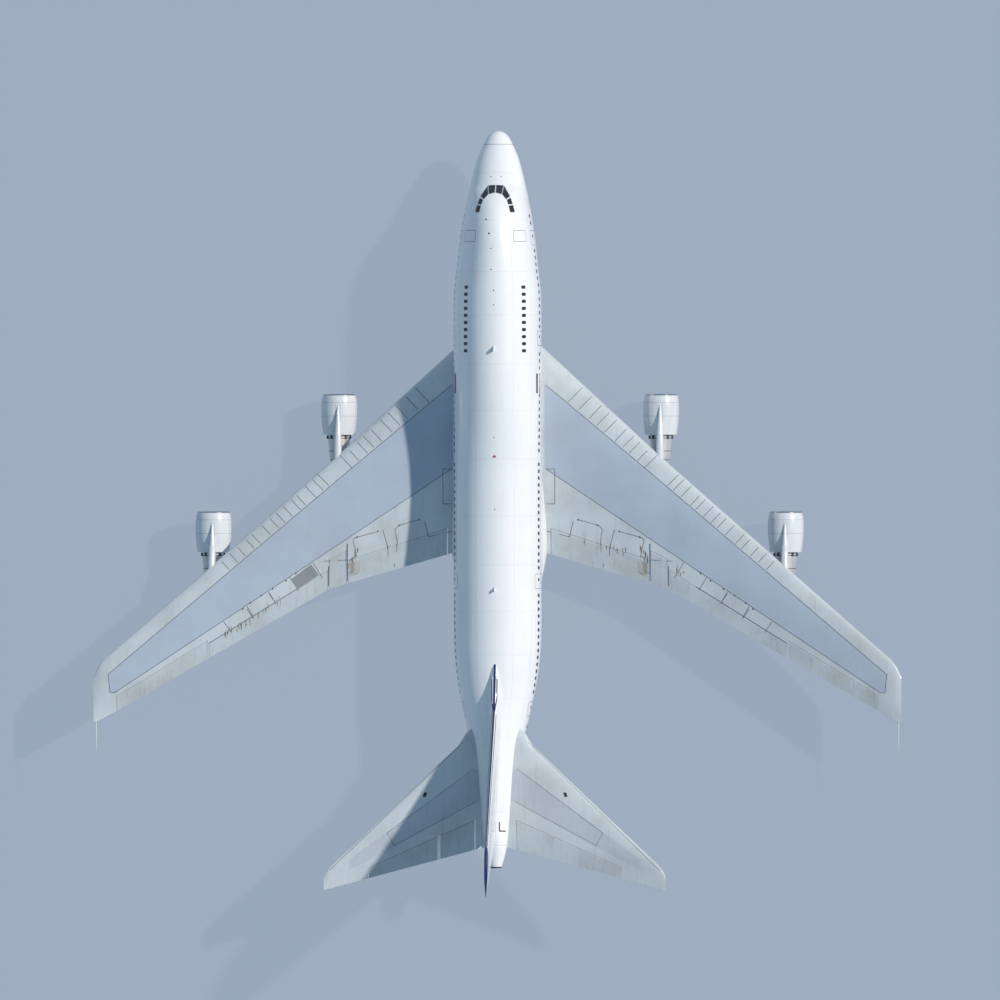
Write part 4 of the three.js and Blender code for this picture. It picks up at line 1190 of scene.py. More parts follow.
def finish_node(node, material):
    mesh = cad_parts[node].data
    mesh.materials.clear()
    mesh.materials.append(material)
    mesh.shade_smooth()
    mesh.set_sharp_from_angle(angle=math.radians(SHARP_EDGE))


for label in ("left", "right"):
    for node in ("flap_inboard", "flap_outboard", "aileron_inboard", "aileron_outboard"):
        finish_node(f"{node}_{label}", flap_grey)
    for node in ("elevator_inboard", "elevator_outboard"):
        finish_node(f"{node}_{label}", flap_grey)
for node in ("rudder_lower", "rudder_upper"):
    finish_node(node, tail_white)

# Tailplane: a swept box like the wing's, grey with a darker middle box and a lighter nose.
TAIL_RIBS = np.array([
    [0.60, 43.00, 52.73, 7.30, 0.95], [2.20, 44.40, 53.16, 7.50, 0.90], [2.75, 45.30, 53.31, 7.57, 0.84],
    [
        12.00, 54.03, 55.77, 8.72, 0.20
    ], [12.40, 54.50, 55.88, 8.77, 0.14], [12.61, 55.00, 55.93, 8.80, 0.07],
])
ELEVATOR_INNER = ([1.50, 4.14], [50.88, 52.03], [0.065, 0.06])
ELEVATOR_OUTER = ([4.21, 9.36], [52.08, 54.35], [0.06, 0.05])
tail_box_grey = flown_material(
    "tail_box_grey", (0.50, 0.54, 0.60), (0.25, 0.25, 0.25), 0.32, 0.28, 0.22, 0.36, coat=0.1
)
vent_black = flown_material("vent_black", (0.012, 0.013, 0.016), (0.05, 0.05, 0.05), 0.2, 0.2, 0.1, 0.6)
STABILIZER_VENT = [(5.02, 48.75), (5.24, 48.75), (5.34, 49.07), (5.12, 49.07)]
TAIL_FRONT = ([1.70, 8.06, 12.4], [47.06, 51.73, 54.9])
TAIL_REAR = ([1.36, 7.42, 12.4], [49.41, 52.77, 55.3])


def tail_split(span):
    return float(np.interp(span, *TAIL_FRONT)), float(np.interp(span, *TAIL_REAR))


def tail_paint(span, part):
    return 1 if part == 1 and span < 10.78 else 0


for label, side in (("left", 1), ("right", -1)):
    tail_zones = bays_of(0.60, 12.61, [ELEVATOR_INNER, ELEVATOR_OUTER])
    foil_skin(f"stabilizer_skin_{label}", TAIL_RIBS, tail_zones, tail_split, [wing_light, tail_box_grey], tail_paint,
              side, False, f"stabilizer_{label}")
    lines = [foil_line(TAIL_RIBS, [(1.60, 47.0), (7.95, 51.73), (7.45, 52.65), (1.50, 49.45)], side)]
    lines.append(foil_line(TAIL_RIBS, [(2.4, 45.05), (12.2, 54.5)], side))
    points, faces = strip_mesh(lines, 0.016, 0.0015)
    make_piece(f"stabilizer_outline_{label}", points, faces, [outline_dark], "airframe")
    vent = foil_patch(TAIL_RIBS, STABILIZER_VENT, side, 1, 0.003, 3)
    make_piece(f"stabilizer_vent_{label}", *vent, [vent_black], "airframe")
    wicks = []
    for span in (9.7, 10.4, 11.1, 11.7, 12.2):
        rib = rib_at(TAIL_RIBS, span)
        wicks.append(tube(
            [spot(side * span, rib[1] - 0.05, rib[2]), spot(side * span, rib[1] + 0.15, rib[2])], 0.004, 6
        ))
    make_piece(f"tail_wicks_{label}", *gather(wicks), [fitting_dark], "airframe")

# Fin: a tall swept aluminium box, painted white with a narrow navy nose edge, a thin navy
# second stripe behind it and a navy tip.
FIN_RIBS = np.array([
    [8.20, 38.20, 52.12, 0, 0.90], [8.80, 39.40, 52.34, 0, 0.90], [9.70, 42.60, 52.66, 0, 0.80],
    [19.45, 52.75, 56.17, 0, 0.30], [19.94, 53.90, 56.31, 0, 0.22],
])
FIN_NOSE_SHARE, FIN_BOX_SHARE, STRIPE_SHARE = 0.10, 0.45, 0.024
FIN_TIP_START = 19.3
RUDDER_LOWER = ([9.00, 13.94], [49.45, 52.15], [0.09, 0.08])
RUDDER_UPPER = ([14.01, 19.25], [52.18, 55.07], [0.075, 0.05])
fin_navy = flown_material(
    "fin_navy", (0.012, 0.022, 0.10), (0.10, 0.10, 0.12), 0.2, 0.2, 0.1, 0.24, coat=0.5
)


def fin_split(span):
    rib = rib_at(FIN_RIBS, span)
    chord = rib[1] - rib[0]
    return rib[0] + FIN_NOSE_SHARE * chord, rib[0] + FIN_BOX_SHARE * chord


def fin_paint(span, part):
    return 1 if part == 3 or span > FIN_TIP_START else 0


fin_zones = bays_of(8.20, 19.94, [RUDDER_LOWER, RUDDER_UPPER])
foil_skin(
    "fin_skin", FIN_RIBS, fin_zones, fin_split, [tail_white, fin_navy], fin_paint, 1, True, "fin",
)
stripes, fin_seams = [], []
for face in (1, -1):
    stripe = []
    for span in np.linspace(9.0, 19.2, 24):
        rib = rib_at(FIN_RIBS, span)
        stripe.append((span, rib[0] + STRIPE_SHARE * (rib[1] - rib[0])))
    stripes.append(foil_line(FIN_RIBS, stripe, 1, face, True))
    for share in (0.25, 0.62):
        seam = []
        for span in np.linspace(9.0, 19.2, 12):
            rib = rib_at(FIN_RIBS, span)
            seam.append((span, rib[0] + share * (rib[1] - rib[0])))
        fin_seams.append(foil_line(FIN_RIBS, seam, 1, face, True))
    for span in (10.2, 12.1, 14.0, 15.9, 17.8):
        rib = rib_at(FIN_RIBS, span)
        fin_seams.append(foil_line(
            FIN_RIBS, [(span, rib[0] + 0.3), (span, rib[0] + 0.70 * (rib[1] - rib[0]))], 1, face, True
        ))
points, faces = strip_mesh(stripes, 0.045, 0.0015)
make_piece("fin_second_stripe", points, faces, [fin_navy], "airframe")
points, faces = strip_mesh(fin_seams, 0.008, 0.0012)
make_piece("fin_lap_seams", points, faces, [seam_grey], "airframe")

# Engines: four turbofans. Each has a white short cowl with a polished lip, a many-bladed
# fan with a spinner, guide vanes, a dark metal core and a plug in the hot nozzle.
ENGINES = {"inboard": (11.90, 19.40, 2.13, 3.88), "outboard": (21.15, 28.06, 2.85, 4.83)}
ENGINE_SIDES = 72
FAN_BLADES = 46
GUIDE_VANES = 60
COWL_SHAPE = [
    (0.10, 1.205), (0.25, 1.262), (0.45, 1.30), (0.75, 1.322), (1.10, 1.33), (1.60, 1.325), (2.05, 1.295),
    (2.50, 1.245), (2.85, 1.198), (3.00, 1.172), (3.00, 1.160), (2.60, 1.185), (2.20, 1.195), (1.70, 1.185),
    (1.30, 1.160), (1.16, 1.145), (0.94, 1.140), (0.60, 1.125), (0.34, 1.110), (0.20, 1.105), (0.12, 1.110),
]
LIP_SHAPE = [
    (0.12, 1.108), (0.06, 1.120), (0.02, 1.138), (0.0, 1.160), (0.015, 1.180), (0.05, 1.193),
    (0.10, 1.207)
]
CORE_SHAPE = [
    (1.34, 0.70), (1.50, 0.79), (1.90, 0.83), (2.40, 0.85), (2.90, 0.845), (3.20, 0.83), (3.60, 0.79),
    (4.10, 0.750), (4.60, 0.70), (4.90, 0.65), (5.20, 0.60), (5.20, 0.57), (4.90, 0.57), (4.40, 0.55),
]
PLUG_SHAPE = [
    (4.40, 0.38), (4.80, 0.36), (5.20, 0.31), (5.50, 0.22), (5.70, 0.16), (5.85, 0.10), (5.90, 0.02)
]
SPINNER_SHAPE = [
    (0.498, 0.002), (0.515, 0.05), (0.56, 0.11), (0.64, 0.18), (0.74, 0.25), (0.84, 0.31), (0.95, 0.36),
    (1.14, 0.38), (1.20, 0.36)
]
PYLON_FRAMES = np.array([
    [0.80, 0.03, 0, 1.24, 0, 1.345], [1.10, 0.08, 0, 1.24, 0, 1.44], [1.40, 0.11, 0, 1.24, 0, 1.50],
    [2.00, 0.17, 0, 1.22, 0, 1.61], [2.30, 0.20, 0, 0.80, 0, 1.68], [3.00, 0.24, 0, 0.70, 0.5, 0.92],
    [4.40, 0.27, 0, 0.50, 1, 0.16], [5.60, 0.27, 0, 0.50, 1, 0.22], [7.40, 0.16, 0.6, 0.10, 1, 0.05],
    [8.90, 0.04, 1, -0.60, 1, -0.10],
])
cowl_white = flown_material(
    "cowl_white", (0.70, 0.72, 0.74), (0.36, 0.34, 0.31), 0.16, 0.3, 0.12, 0.26, coat=0.4
)
lip_polish = flown_material(
    "lip_polish", (0.50, 0.51, 0.53), (0.22, 0.21, 0.20), 0.2, 0.15, 0.1, 0.16, metallic=1.0
)
fan_metal = flown_material(
    "fan_metal", (0.42, 0.43, 0.45), (0.18, 0.17, 0.16), 0.25, 0.1, 0.15, 0.30, metallic=1.0
)
core_metal = flown_material(
    "core_metal", (0.72, 0.71, 0.70), (0.20, 0.17, 0.14), 0.35, 0.45, 0.35, 0.32, metallic=0.55
)
plug_metal = flown_material(
    "plug_metal", (0.26, 0.21, 0.17), (0.08, 0.06, 0.05), 0.5, 0.5, 0.3, 0.38, metallic=1.0
)
duct_grey = flown_material("duct_grey", (0.30, 0.32, 0.34), (0.14, 0.13, 0.12), 0.3, 0.2, 0.15, 0.45)


def spun(profile, centre):
    """A body turned about the fore-and-aft line through the centre (lateral, station, height)."""
    lateral, station, height = centre
    points = []
    for back, radius in profile:
        for k in range(ENGINE_SIDES):
            a = 2 * math.pi * k / ENGINE_SIDES
            points.append(spot(
                lateral + radius * math.cos(a), station + back, height + radius * math.sin(a)
            ))
    return points, ring_faces(len(profile), ENGINE_SIDES)


def radial_blades(count, centre, stations, inner, outer, chord, twist, thick):
    """Thin curved blades standing out from a hub; twist and chord run from root to tip."""
    lateral, station, height = centre
    middle = sum(stations) / 2
    parts = []
    for n in range(count):
        points = []
        for j in range(7):
            share = j / 6
            radius = inner + (outer - inner) * share
            lean = math.radians(twist[0] + (twist[1] - twist[0]) * share)
            half = (chord[0] + (chord[1] - chord[0]) * share) / 2
            body = thick * (1 - 0.7 * share)
            for along, off in ((-1, 0), (-0.4, 1), (0.3, 1), (1, 0), (0.3, -0.2), (-0.4, -0.2)):
                back = middle + half * along * math.cos(lean) - body * off * math.sin(lean)
                round_ = half * along * math.sin(lean) + body * off * math.cos(lean) + 0.06 * half * (1 - along * along)
                a = 2 * math.pi * n / count + round_ / radius
                points.append(spot(
                    lateral + radius * math.cos(a), station + back, height + radius * math.sin(a)
                ))
        faces = ring_faces(7, 6)
        faces.append((0, 1, 2, 3, 4, 5))
        faces.append((41, 40, 39, 38, 37, 36))
        parts.append((points, faces))
    return gather(parts)


def pylon_level(share, rise, height, wing):
    return height + (wing - height) * share + rise


for label, side in (("left", 1), ("right", -1)):
    for place_name, (lateral, lip, height, wing) in ENGINES.items():
        centre = (side * lateral, lip, height)
        tag = f"{place_name}_{label}"
        nacelle = make_piece(f"cowl_{tag}", *spun(COWL_SHAPE, centre), [cowl_white, duct_grey], "airframe",
                             [
                                 1 if k // ENGINE_SIDES >= 10 else 0
                                 for k in range((len(COWL_SHAPE) - 1) * ENGINE_SIDES)
                             ])
        nacelle.data.set_sharp_from_angle(angle=math.radians(35))
        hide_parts(f"nacelle_{tag}")
        make_piece(f"inlet_lip_{tag}", *spun(LIP_SHAPE, centre), [lip_polish], "airframe")
        cowl_seams = []
        for back in (0.62, 1.62):
            radius = float(np.interp(
                back, [p[0] for p in COWL_SHAPE[:10]], [p[1] for p in COWL_SHAPE[:10]]
            ))
            cowl_seams.append([(np.array(spot(
                centre[0] + radius * math.cos(a), lip + back, height + radius * math.sin(a)
            )),
                                np.array((math.cos(a), 0, math.sin(a)))) for a in np.linspace(0, 2 * math.pi, 73)])
        for a in (0.35, math.pi - 0.35, math.pi / 2 + 0.12, math.pi / 2 - 0.12, -math.pi / 2):
            cowl_seams.append([(np.array(spot(
                centre[0] + p[1] * math.cos(a), lip + p[0], height + p[1] * math.sin(a)
            )),
                                np.array((math.cos(a), 0, math.sin(a)))) for p in COWL_SHAPE[3:10]])
        points, faces = strip_mesh(cowl_seams, 0.007, 0.0015)
        make_piece(f"cowl_seams_{tag}", points, faces, [outline_dark], "airframe")
        latches = []
        for a in (-math.pi / 2 - 0.05, -math.pi / 2 + 0.05):
            for back in (0.8, 1.1, 1.4, 1.8, 2.1, 2.4):
                x, z = centre[0] + 1.328 * math.cos(a), height + 1.328 * math.sin(a)
                latches.append(box_between(
                    spot(x - 0.025, lip + back - 0.05, z - 0.01),
                    spot(x + 0.025, lip + back + 0.05, z + 0.03), 0.004
                ))
        make_piece(f"cowl_latches_{tag}", *gather(latches), [lip_polish], "airframe")

        fan_body = f"fan_{tag}"
        spinner = make_piece(f"spinner_{tag}", *spun(SPINNER_SHAPE, centre), [duct_grey], fan_body)
        fan = make_piece(f"fan_blades_{tag}", *radial_blades(
            FAN_BLADES, centre, (0.95, 1.14), 0.365, 1.125, (0.17, 0.20), (22, 58), 0.012
        ),
                         [fan_metal], fan_body)
        fan.data.set_sharp_from_angle(angle=math.radians(50))
        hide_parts(fan_body)
        vanes = make_piece(f"guide_vanes_{tag}", *radial_blades(
            GUIDE_VANES, centre, (1.42, 1.72), 0.78, 1.185, (0.26, 0.24), (18, 8), 0.010
        ),
                           [duct_grey], "airframe")

        core = make_piece(f"core_shell_{tag}", *spun(CORE_SHAPE, centre), [core_metal], "airframe")
        core.data.set_sharp_from_angle(angle=math.radians(40))
        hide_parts(f"engine_core_{tag}")
        splitter = make_piece(f"core_splitter_{tag}", *spun(
            [(1.24, 0.66), (1.22, 0.69), (1.24, 0.71), (1.36, 0.735), (1.36, 0.66)], centre
        ),
                              [fan_metal], "airframe")
        back_wall = make_piece(
            f"core_back_wall_{tag}", *spun([(1.30, 0.0), (1.30, 0.70)], centre), [duct_grey], "airframe"
        )
        make_piece(f"nozzle_plug_{tag}", *spun(PLUG_SHAPE, centre), [plug_metal], "airframe")
        make_piece(
                f"nozzle_wall_{tag}", *spun([(4.42, 0.37), (4.42, 0.57)], centre), [plug_metal],
                "airframe"
            )
        fittings = []
        for turn_at in (0.25, math.pi - 0.25, 0.9, math.pi - 0.9):
            x, z = centre[0] + 0.84 * math.cos(turn_at), height + 0.84 * math.sin(turn_at)
            fittings.append(tube([spot(x, lip + 3.05, z), spot(x, lip + 3.30, z)], [0.05, 0.05], 14, 0.6))
        for back in (3.25, 4.2, 4.85):
            radius = float(np.interp(
                back, [p[0] for p in CORE_SHAPE[:11]], [p[1] for p in CORE_SHAPE[:11]]
            )) + 0.012
            fittings.append(spun(
                [
                    (back - 0.03, radius - 0.02), (back - 0.02, radius), (back + 0.02, radius),
                    (back + 0.03, radius - 0.02)
                ],
                centre
            ))
        make_piece(f"core_bands_{tag}", *gather(fittings), [fitting_dark], "airframe")

        rings = []
        for back in np.linspace(0.80, 8.90, 46):
            half, share0, rise0, share1, rise1 = [
                float(fair_curve(PYLON_FRAMES[:, 0], PYLON_FRAMES[:, c], np.array([back]))[0])
                for c in range(1, 6)
            ]
            foot, top = pylon_level(share0, rise0, height, wing), pylon_level(share1, rise1, height, wing)
            crown = min(0.22, 0.45 * (top - foot))
            ring = [
                (half * math.cos(a), top - crown + crown * math.sin(a))
                for a in np.linspace(0, math.pi, 13)
            ]
            ring += [
                (half * math.cos(a), foot + crown + crown * math.sin(a))
                for a in np.linspace(math.pi, 2 * math.pi, 9)
            ]
            rings += [spot(centre[0] + x, lip + back, z) for x, z in ring]
        count = 22
        faces = ring_faces(46, count) + [
            tuple(reversed(range(count))), tuple(range(45 * count, 46 * count))
        ]
        pylon = make_piece(f"pylon_skin_{tag}", rings, faces, [cowl_white], "airframe")
        pylon.data.set_sharp_from_angle(angle=math.radians(40))
        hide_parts(f"pylon_{tag}")

# Wheels and tyres: ribbed tyres on forged two-part hubs with bolt circles, in pairs on
# each axle, with stacked disc brakes between the main wheels.
AXLE_HEIGHT = 0.62
TYRE_PROFILE = [
    (-0.150, 0.310), (-0.168, 0.325), (-0.196, 0.380), (-0.212, 0.450), (-0.212, 0.510),
    (-0.196, 0.566), (-0.168, 0.600),
    (-0.140, 0.612), (-0.112, 0.617), (-0.108, 0.606), (-0.094, 0.606), (-0.090, 0.618),
    (-0.046, 0.620), (-0.042, 0.608),
    (-0.028, 0.608), (-0.024, 0.620), (0.024, 0.620), (0.028, 0.608), (0.042, 0.608),
    (0.046, 0.620), (0.090, 0.618),
    (0.094, 0.606), (0.108, 0.606), (0.112, 0.617), (0.140, 0.612), (0.168, 0.600), (0.196, 0.566),
    (0.212, 0.510),
    (0.212, 0.450), (0.196, 0.380), (0.168, 0.325), (0.150, 0.310),
]
HUB_PROFILE = [
    (-0.160, 0.312), (-0.166, 0.322), (-0.156, 0.322), (-0.140, 0.300), (-0.090, 0.285),
    (-0.060, 0.250), (-0.075, 0.200),
    (-0.100, 0.150), (-0.125, 0.120), (-0.150, 0.110), (-0.165, 0.085), (-0.170, 0.0),
]
tyre_rubber = flown_material(
    "tyre_rubber", (0.028, 0.028, 0.030), (0.11, 0.10, 0.085), 0.5, 0.2, 0.3, 0.72
)
gear_silver = flown_material(
    "gear_silver", (0.48, 0.50, 0.51), (0.20, 0.18, 0.15), 0.3, 0.4, 0.25, 0.36, coat=0.2
)
chrome = flown_material(
    "chrome", (0.72, 0.72, 0.73), (0.4, 0.38, 0.35), 0.1, 0.1, 0.05, 0.08, metallic=1.0
)
hub_grey = flown_material(
    "hub_grey", (0.52, 0.54, 0.56), (0.16, 0.14, 0.12), 0.3, 0.3, 0.3, 0.4, metallic=0.3
)
brake_dark = flown_material(
    "brake_dark", (0.10, 0.095, 0.09), (0.05, 0.045, 0.04), 0.4, 0.3, 0.3, 0.5, metallic=0.8
)
hose_black = flown_material("hose_black", (0.02, 0.02, 0.022), (0.08, 0.07, 0.06), 0.3, 0.2, 0.2, 0.55)


def across(profile, centre, sides=56, flip=1):
    """A body turned about the sideways line through the centre (lateral, station, height)."""
    lateral, station, height = centre
    points = []
    for off, radius in profile:
        for k in range(sides):
            a = 2 * math.pi * k / sides
            points.append(spot(
                lateral + flip * off, station + radius * math.cos(a), height + radius * math.sin(a)
            ))
    return points, ring_faces(len(profile), sides)


def twin_wheels(tag, body, lateral, station, half):
    tyres, hubs, bolts = [], [], []
    for off in (-1, 1):
        centre = (lateral + off * half, station, AXLE_HEIGHT)
        tyres.append(across(TYRE_PROFILE, centre))
        tyres.append(across([(-0.150, 0.310), (0.150, 0.310)], centre))
        hubs.append(across(HUB_PROFILE, centre, 56, -off))
        hubs.append(across(
            [(0.150, 0.312), (0.158, 0.322), (0.10, 0.295), (0.02, 0.27), (-0.06, 0.25)], centre, 56, -off
        ))
        for k in range(12):
            a = 2 * math.pi * (k + 0.5) / 12
            y, z = station + 0.225 * math.cos(a), AXLE_HEIGHT + 0.225 * math.sin(a)
            bolts.append(tube(
                [spot(centre[0] + off * 0.055, y, z), spot(centre[0] + off * 0.085, y, z)], 0.009, 6
            ))
        bolts.append(tube(
            [
                spot(centre[0] + off * 0.16, station, AXLE_HEIGHT),
                spot(centre[0] + off * 0.19, station, AXLE_HEIGHT)
            ],
            [0.036, 0.03], 18
        ))
    rubber = make_piece(f"tyres_{tag}", *gather(tyres), [tyre_rubber], body)
    rubber.data.set_sharp_from_angle(angle=math.radians(45))
    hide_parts(body)
    metal = make_piece(f"hubs_{tag}", *gather(hubs), [hub_grey], body)
    metal.data.set_sharp_from_angle(angle=math.radians(50))
    make_piece(f"hub_bolts_{tag}", *gather(bolts), [chrome], body, smooth=False)


def brakes(lateral, station, half):
    """Brake stacks inside a pair of main wheels; they don't turn."""
    stacks = []
    for off in (-1, 1):
        for k in range(4):
            x = lateral + off * (half - 0.11 - 0.045 * k)
            stacks.append(tube(
                [spot(x, station, AXLE_HEIGHT), spot(x - off * 0.032, station, AXLE_HEIGHT)],
                0.118 - 0.006 * k, 32
            ))
        for k in range(8):
            a = 2 * math.pi * k / 8
            y, z = station + 0.17 * math.cos(a), AXLE_HEIGHT + 0.17 * math.sin(a)
            x = lateral + off * (half - 0.30)
            stacks.append(tube([spot(x, y, z), spot(x + off * 0.06, y, z)], 0.018, 10))
    return stacks


def torque_links(x, front_y, top, bottom, reach):
    """The hinged V that stops a shock strut from twisting."""
    knee = (x, front_y - reach, (top + bottom) / 2)
    parts = []
    for z in (top, bottom):
        for off in (-1, 1):
            root = spot(x + off * 0.10, front_y, z)
            tip = spot(x + off * 0.03, knee[1], knee[2] + (0.02 if z == top else -0.02))
            parts.append(tube([root, tip], [0.022, 0.014], 10, 1.4))
    parts.append(tube([spot(x - 0.05, knee[1], knee[2]), spot(x + 0.05, knee[1], knee[2])], 0.02, 14))
    return parts


# Nose gear: a steerable twin-wheel strut with a drag brace, torque links, steering
# cylinders, a tow fitting and a taxi lamp, between two narrow doors.
NOSE_GEAR = 7.60
twin_wheels("nose", "nose_wheels", 0.0, NOSE_GEAR, 0.455)
strut = [tube([spot(0, NOSE_GEAR, 1.40), spot(0, NOSE_GEAR, 2.30)], 0.080, 32)]
strut.append(tube([spot(0, NOSE_GEAR, 1.38), spot(0, NOSE_GEAR, 1.47)], 0.096, 32))
for off in (-1, 1):
    strut.append(tube(
        [spot(off * 0.14, NOSE_GEAR, 1.70), spot(off * 0.26, NOSE_GEAR - 0.95, 2.30)], [0.032, 0.028], 16
    ))
    strut.append(tube(
        [spot(off * 0.12, NOSE_GEAR - 0.10, 1.58), spot(off * 0.12, NOSE_GEAR + 0.16, 1.58)], 0.032, 16
    ))
strut.append(tube([spot(-0.17, NOSE_GEAR, 1.70), spot(0.17, NOSE_GEAR, 1.70)], 0.036, 16))
leg = make_piece("nose_strut", *gather(strut), [gear_silver], "airframe")
leg.data.set_sharp_from_angle(angle=math.radians(40))
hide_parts("nose_gear_leg")
fork = [tube([spot(0, NOSE_GEAR, 0.66), spot(0, NOSE_GEAR, 0.98)], [0.075, 0.068], 28)]
fork.append(tube([spot(-0.34, NOSE_GEAR, AXLE_HEIGHT), spot(0.34, NOSE_GEAR, AXLE_HEIGHT)], 0.044, 24))
fork.append(tube([spot(-0.13, NOSE_GEAR, AXLE_HEIGHT), spot(0.13, NOSE_GEAR, AXLE_HEIGHT)], 0.085, 28))
fork.append(box_between(
    spot(-0.08, NOSE_GEAR - 0.335, AXLE_HEIGHT - 0.05), spot(0.08, NOSE_GEAR - 0.14, AXLE_HEIGHT + 0.05),
    0.015
))
fork += torque_links(0.0, NOSE_GEAR + 0.13, 1.28, 0.80, -0.20)
carrier = make_piece("nose_axle_and_links", *gather(fork), [gear_silver], "nose_gear_fork")
carrier.data.set_sharp_from_angle(angle=math.radians(40))
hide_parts("nose_gear_fork")
piston = make_piece(
    "nose_piston", *tube([spot(0, NOSE_GEAR, 0.95), spot(0, NOSE_GEAR, 1.36)], 0.055, 32), [chrome],
    "nose_gear_fork"
)
lamps, lenses = [], []
for off in (-1, 1):
    lamps.append(tube(
        [spot(off * 0.20, NOSE_GEAR - 0.14, 1.50), spot(off * 0.20, NOSE_GEAR - 0.24, 1.50)], [0.03, 0.052],
        24
    ))
    lamps.append(tube(
        [spot(off * 0.05, NOSE_GEAR - 0.10, 1.50), spot(off * 0.20, NOSE_GEAR - 0.15, 1.50)], 0.012, 10
    ))
    lenses.append(tube(
        [spot(off * 0.20, NOSE_GEAR - 0.238, 1.50), spot(off * 0.20, NOSE_GEAR - 0.250, 1.50)],
        [0.049, 0.04], 24
    ))
make_piece("taxi_lamps", *gather(lamps), [gear_silver], "airframe")
make_piece("taxi_lamp_lenses", *gather(lenses), [lamp_glass], "airframe")
for label, side in (("left", 1), ("right", -1)):
    finish_node(f"nose_gear_door_{label}", hull_white)
    ribs = [
        tube(
            [spot(side * 0.385, NOSE_GEAR - 0.68, z), spot(side * 0.385, NOSE_GEAR + 1.08, z)], 0.012, 8
        )
        for z in (1.52, 1.74, 1.95)
    ]
    make_piece(f"nose_door_ribs_{label}", *gather(ribs), [gear_silver], "airframe")
hoses = []
for off in (-1, 1):
    hoses.append(tube([spot(off * 0.11, NOSE_GEAR + 0.10, z) for z in (1.45, 1.60, 1.80, 2.05)], 0.010, 8))
make_piece("nose_gear_hoses", *gather(hoses), [hose_black], "airframe")

# Main gear: four-wheel bogies on oleo struts, two under the wings with side braces and
# two steerable ones under the belly, with brake stacks, torque links and hoses.
BOGIE_HALF = 0.735
MAIN_TWIN = 0.56


def bogie(lateral, station):
    parts = [tube([
        spot(lateral, station - BOGIE_HALF, AXLE_HEIGHT), spot(lateral, station - 0.35, AXLE_HEIGHT),
        spot(lateral, station, AXLE_HEIGHT + 0.02), spot(lateral, station + 0.35, AXLE_HEIGHT), spot(
            lateral, station + BOGIE_HALF, AXLE_HEIGHT
        ),
    ], [0.062, 0.072, 0.085, 0.072, 0.062], 28)]
    for end in (-1, 1):
        y = station + end * BOGIE_HALF
        parts.append(tube(
            [spot(lateral - 0.44, y, AXLE_HEIGHT), spot(lateral + 0.44, y, AXLE_HEIGHT)], 0.043, 24
        ))
        parts.append(tube(
            [spot(lateral - 0.14, y, AXLE_HEIGHT), spot(lateral + 0.14, y, AXLE_HEIGHT)], 0.078, 28
        ))
        parts.append(tube(
            [
                spot(lateral, y - end * 0.10, AXLE_HEIGHT + 0.19),
                spot(lateral, station + end * 0.16, AXLE_HEIGHT + 0.23)
            ],
            0.018, 12
        ))
    return parts


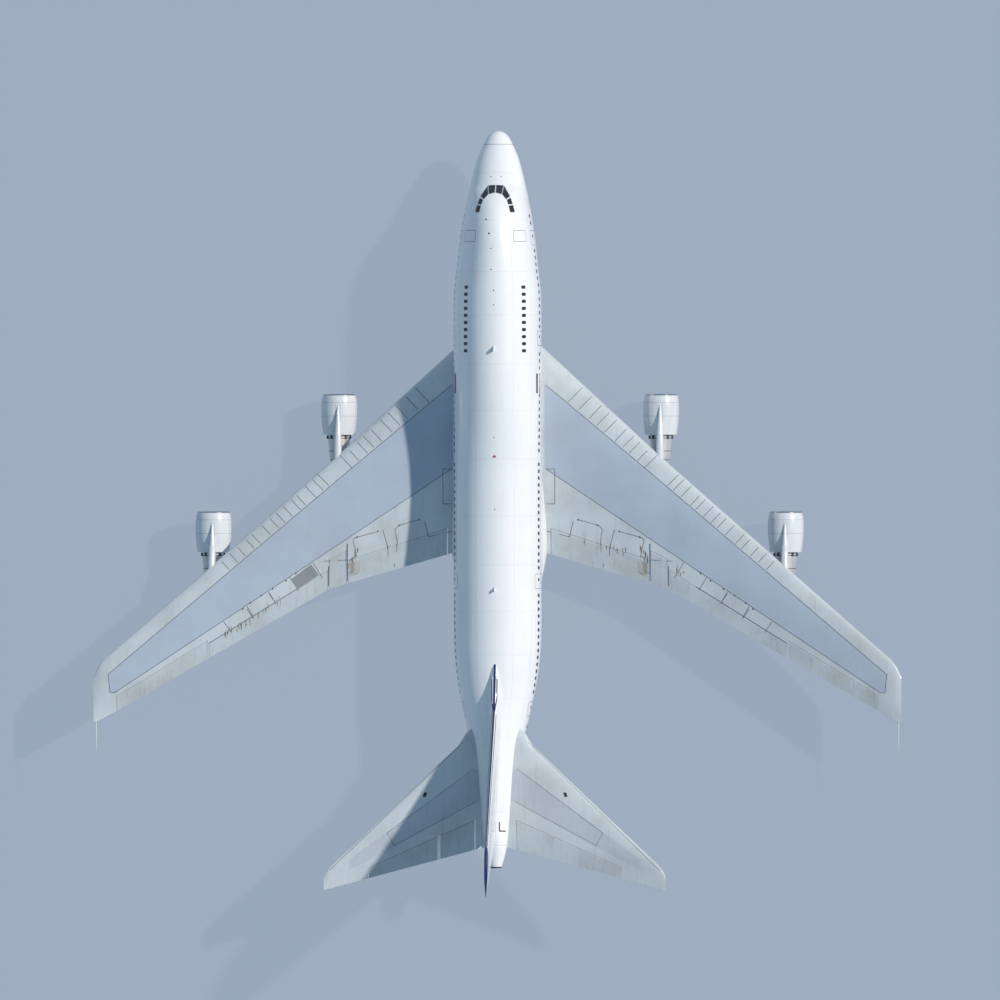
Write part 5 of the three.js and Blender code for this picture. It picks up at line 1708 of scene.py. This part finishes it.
for label, side in (("left", 1), ("right", -1)):
    for gear, (lateral, station, body, node) in {
        "wing_gear": (5.50, 26.55, "airframe", f"wing_gear_leg_{label}"),
        "body_gear": (1.92, 29.63, f"body_gear_bogie_{label}", f"body_gear_bogie_{label}"),
    }.items():
        tag = f"{gear}_{label}"
        at = side * lateral
        for end, offset in (("front", -BOGIE_HALF), ("rear", BOGIE_HALF)):
            twin_wheels(f"{tag}_{end}", f"{gear}_wheels_{end}_{label}", at, station + offset, MAIN_TWIN)
        brake = make_piece(
            f"brakes_{tag}",
            *gather(brakes(
                at, station - BOGIE_HALF, MAIN_TWIN
            ) + brakes(at, station + BOGIE_HALF, MAIN_TWIN)),
            [brake_dark], body
        )
        brake.data.set_sharp_from_angle(angle=math.radians(40))
        beam = make_piece(f"bogie_{tag}", *gather(bogie(at, station)), [gear_silver], body)
        beam.data.set_sharp_from_angle(angle=math.radians(40))
        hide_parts(node)
        make_piece(
                f"piston_{tag}",
                *tube([spot(at, station, AXLE_HEIGHT + 0.1), spot(at, station, 1.22)], 0.062, 32),
                [chrome], body
            )
    leg = [tube([spot(side * 5.5, 26.55, 1.18), spot(side * 5.5, 26.55, 3.0)], 0.095, 36)]
    leg.append(tube([spot(side * 5.5, 26.55, 1.15), spot(side * 5.5, 26.55, 1.27)], 0.108, 36))
    leg.append(tube(
        [spot(side * 4.15, 26.55, 2.85), spot(side * 5.42, 26.55, 1.75)], [0.05, 0.04], 20, 1.3
    ))
    leg.append(tube([spot(side * 4.9, 27.3, 2.9), spot(side * 5.45, 26.6, 1.95)], 0.032, 16))
    leg += torque_links(side * 5.5, 26.55 - 0.16, 1.24, 0.84, 0.24)
    outer = make_piece(f"wing_gear_strut_{label}", *gather(leg), [gear_silver], "airframe")
    outer.data.set_sharp_from_angle(angle=math.radians(40))
    body_leg = [tube([spot(side * 1.92, 29.63, 1.23), spot(side * 1.92, 29.63, 2.1)], 0.105, 36)]
    body_leg.append(tube([spot(side * 1.92, 29.63, 1.22), spot(side * 1.92, 29.63, 1.33)], 0.118, 36))
    inner = make_piece(f"body_gear_strut_{label}", *gather(body_leg), [gear_silver], "airframe")
    inner.data.set_sharp_from_angle(angle=math.radians(40))
    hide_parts(f"body_gear_leg_{label}")
    hoses = []
    for off in (-0.11, 0.11):
        hoses.append(tube(
            [
                spot(side * 5.5 + off, 26.68, 1.05), spot(side * 5.5 + off * 1.3, 26.74, 1.4),
                spot(side * 5.5 + off, 26.68, 1.9), spot(side * 5.5 + off, 26.66, 2.6)
            ],
            0.011, 8
        ))
    make_piece(f"wing_gear_hoses_{label}", *gather(hoses), [hose_black], "airframe")
    door = box_between(spot(side * 5.80, 25.95, 1.75), spot(side * 5.84, 27.15, 2.85), 0.006)
    make_piece(f"wing_gear_leg_door_{label}", *door, [fairing_grey], "airframe", smooth=False)

# Jacking pads: domed steel pads on the belly, the tail and under each wing, where the
# airliner is lifted for weighing and gear work.
JACK_PADS = {
    "nose": (0.0, 10.2, 1.95), "tail": (0.0, 40.6, 2.46), "left": (7.9, 28.3, 2.88),
    "right": (-7.9, 28.3, 2.88)
}
for label, (lateral, station, foot) in JACK_PADS.items():
    pad = tube(
        [
            spot(lateral, station, foot), spot(lateral, station, foot + 0.03),
            spot(lateral, station, foot + 0.16)
        ],
        [0.052, 0.06, 0.075], 28
    )
    make_piece(f"jack_pad_{label}", *pad, [gear_silver], "airframe", smooth=False)
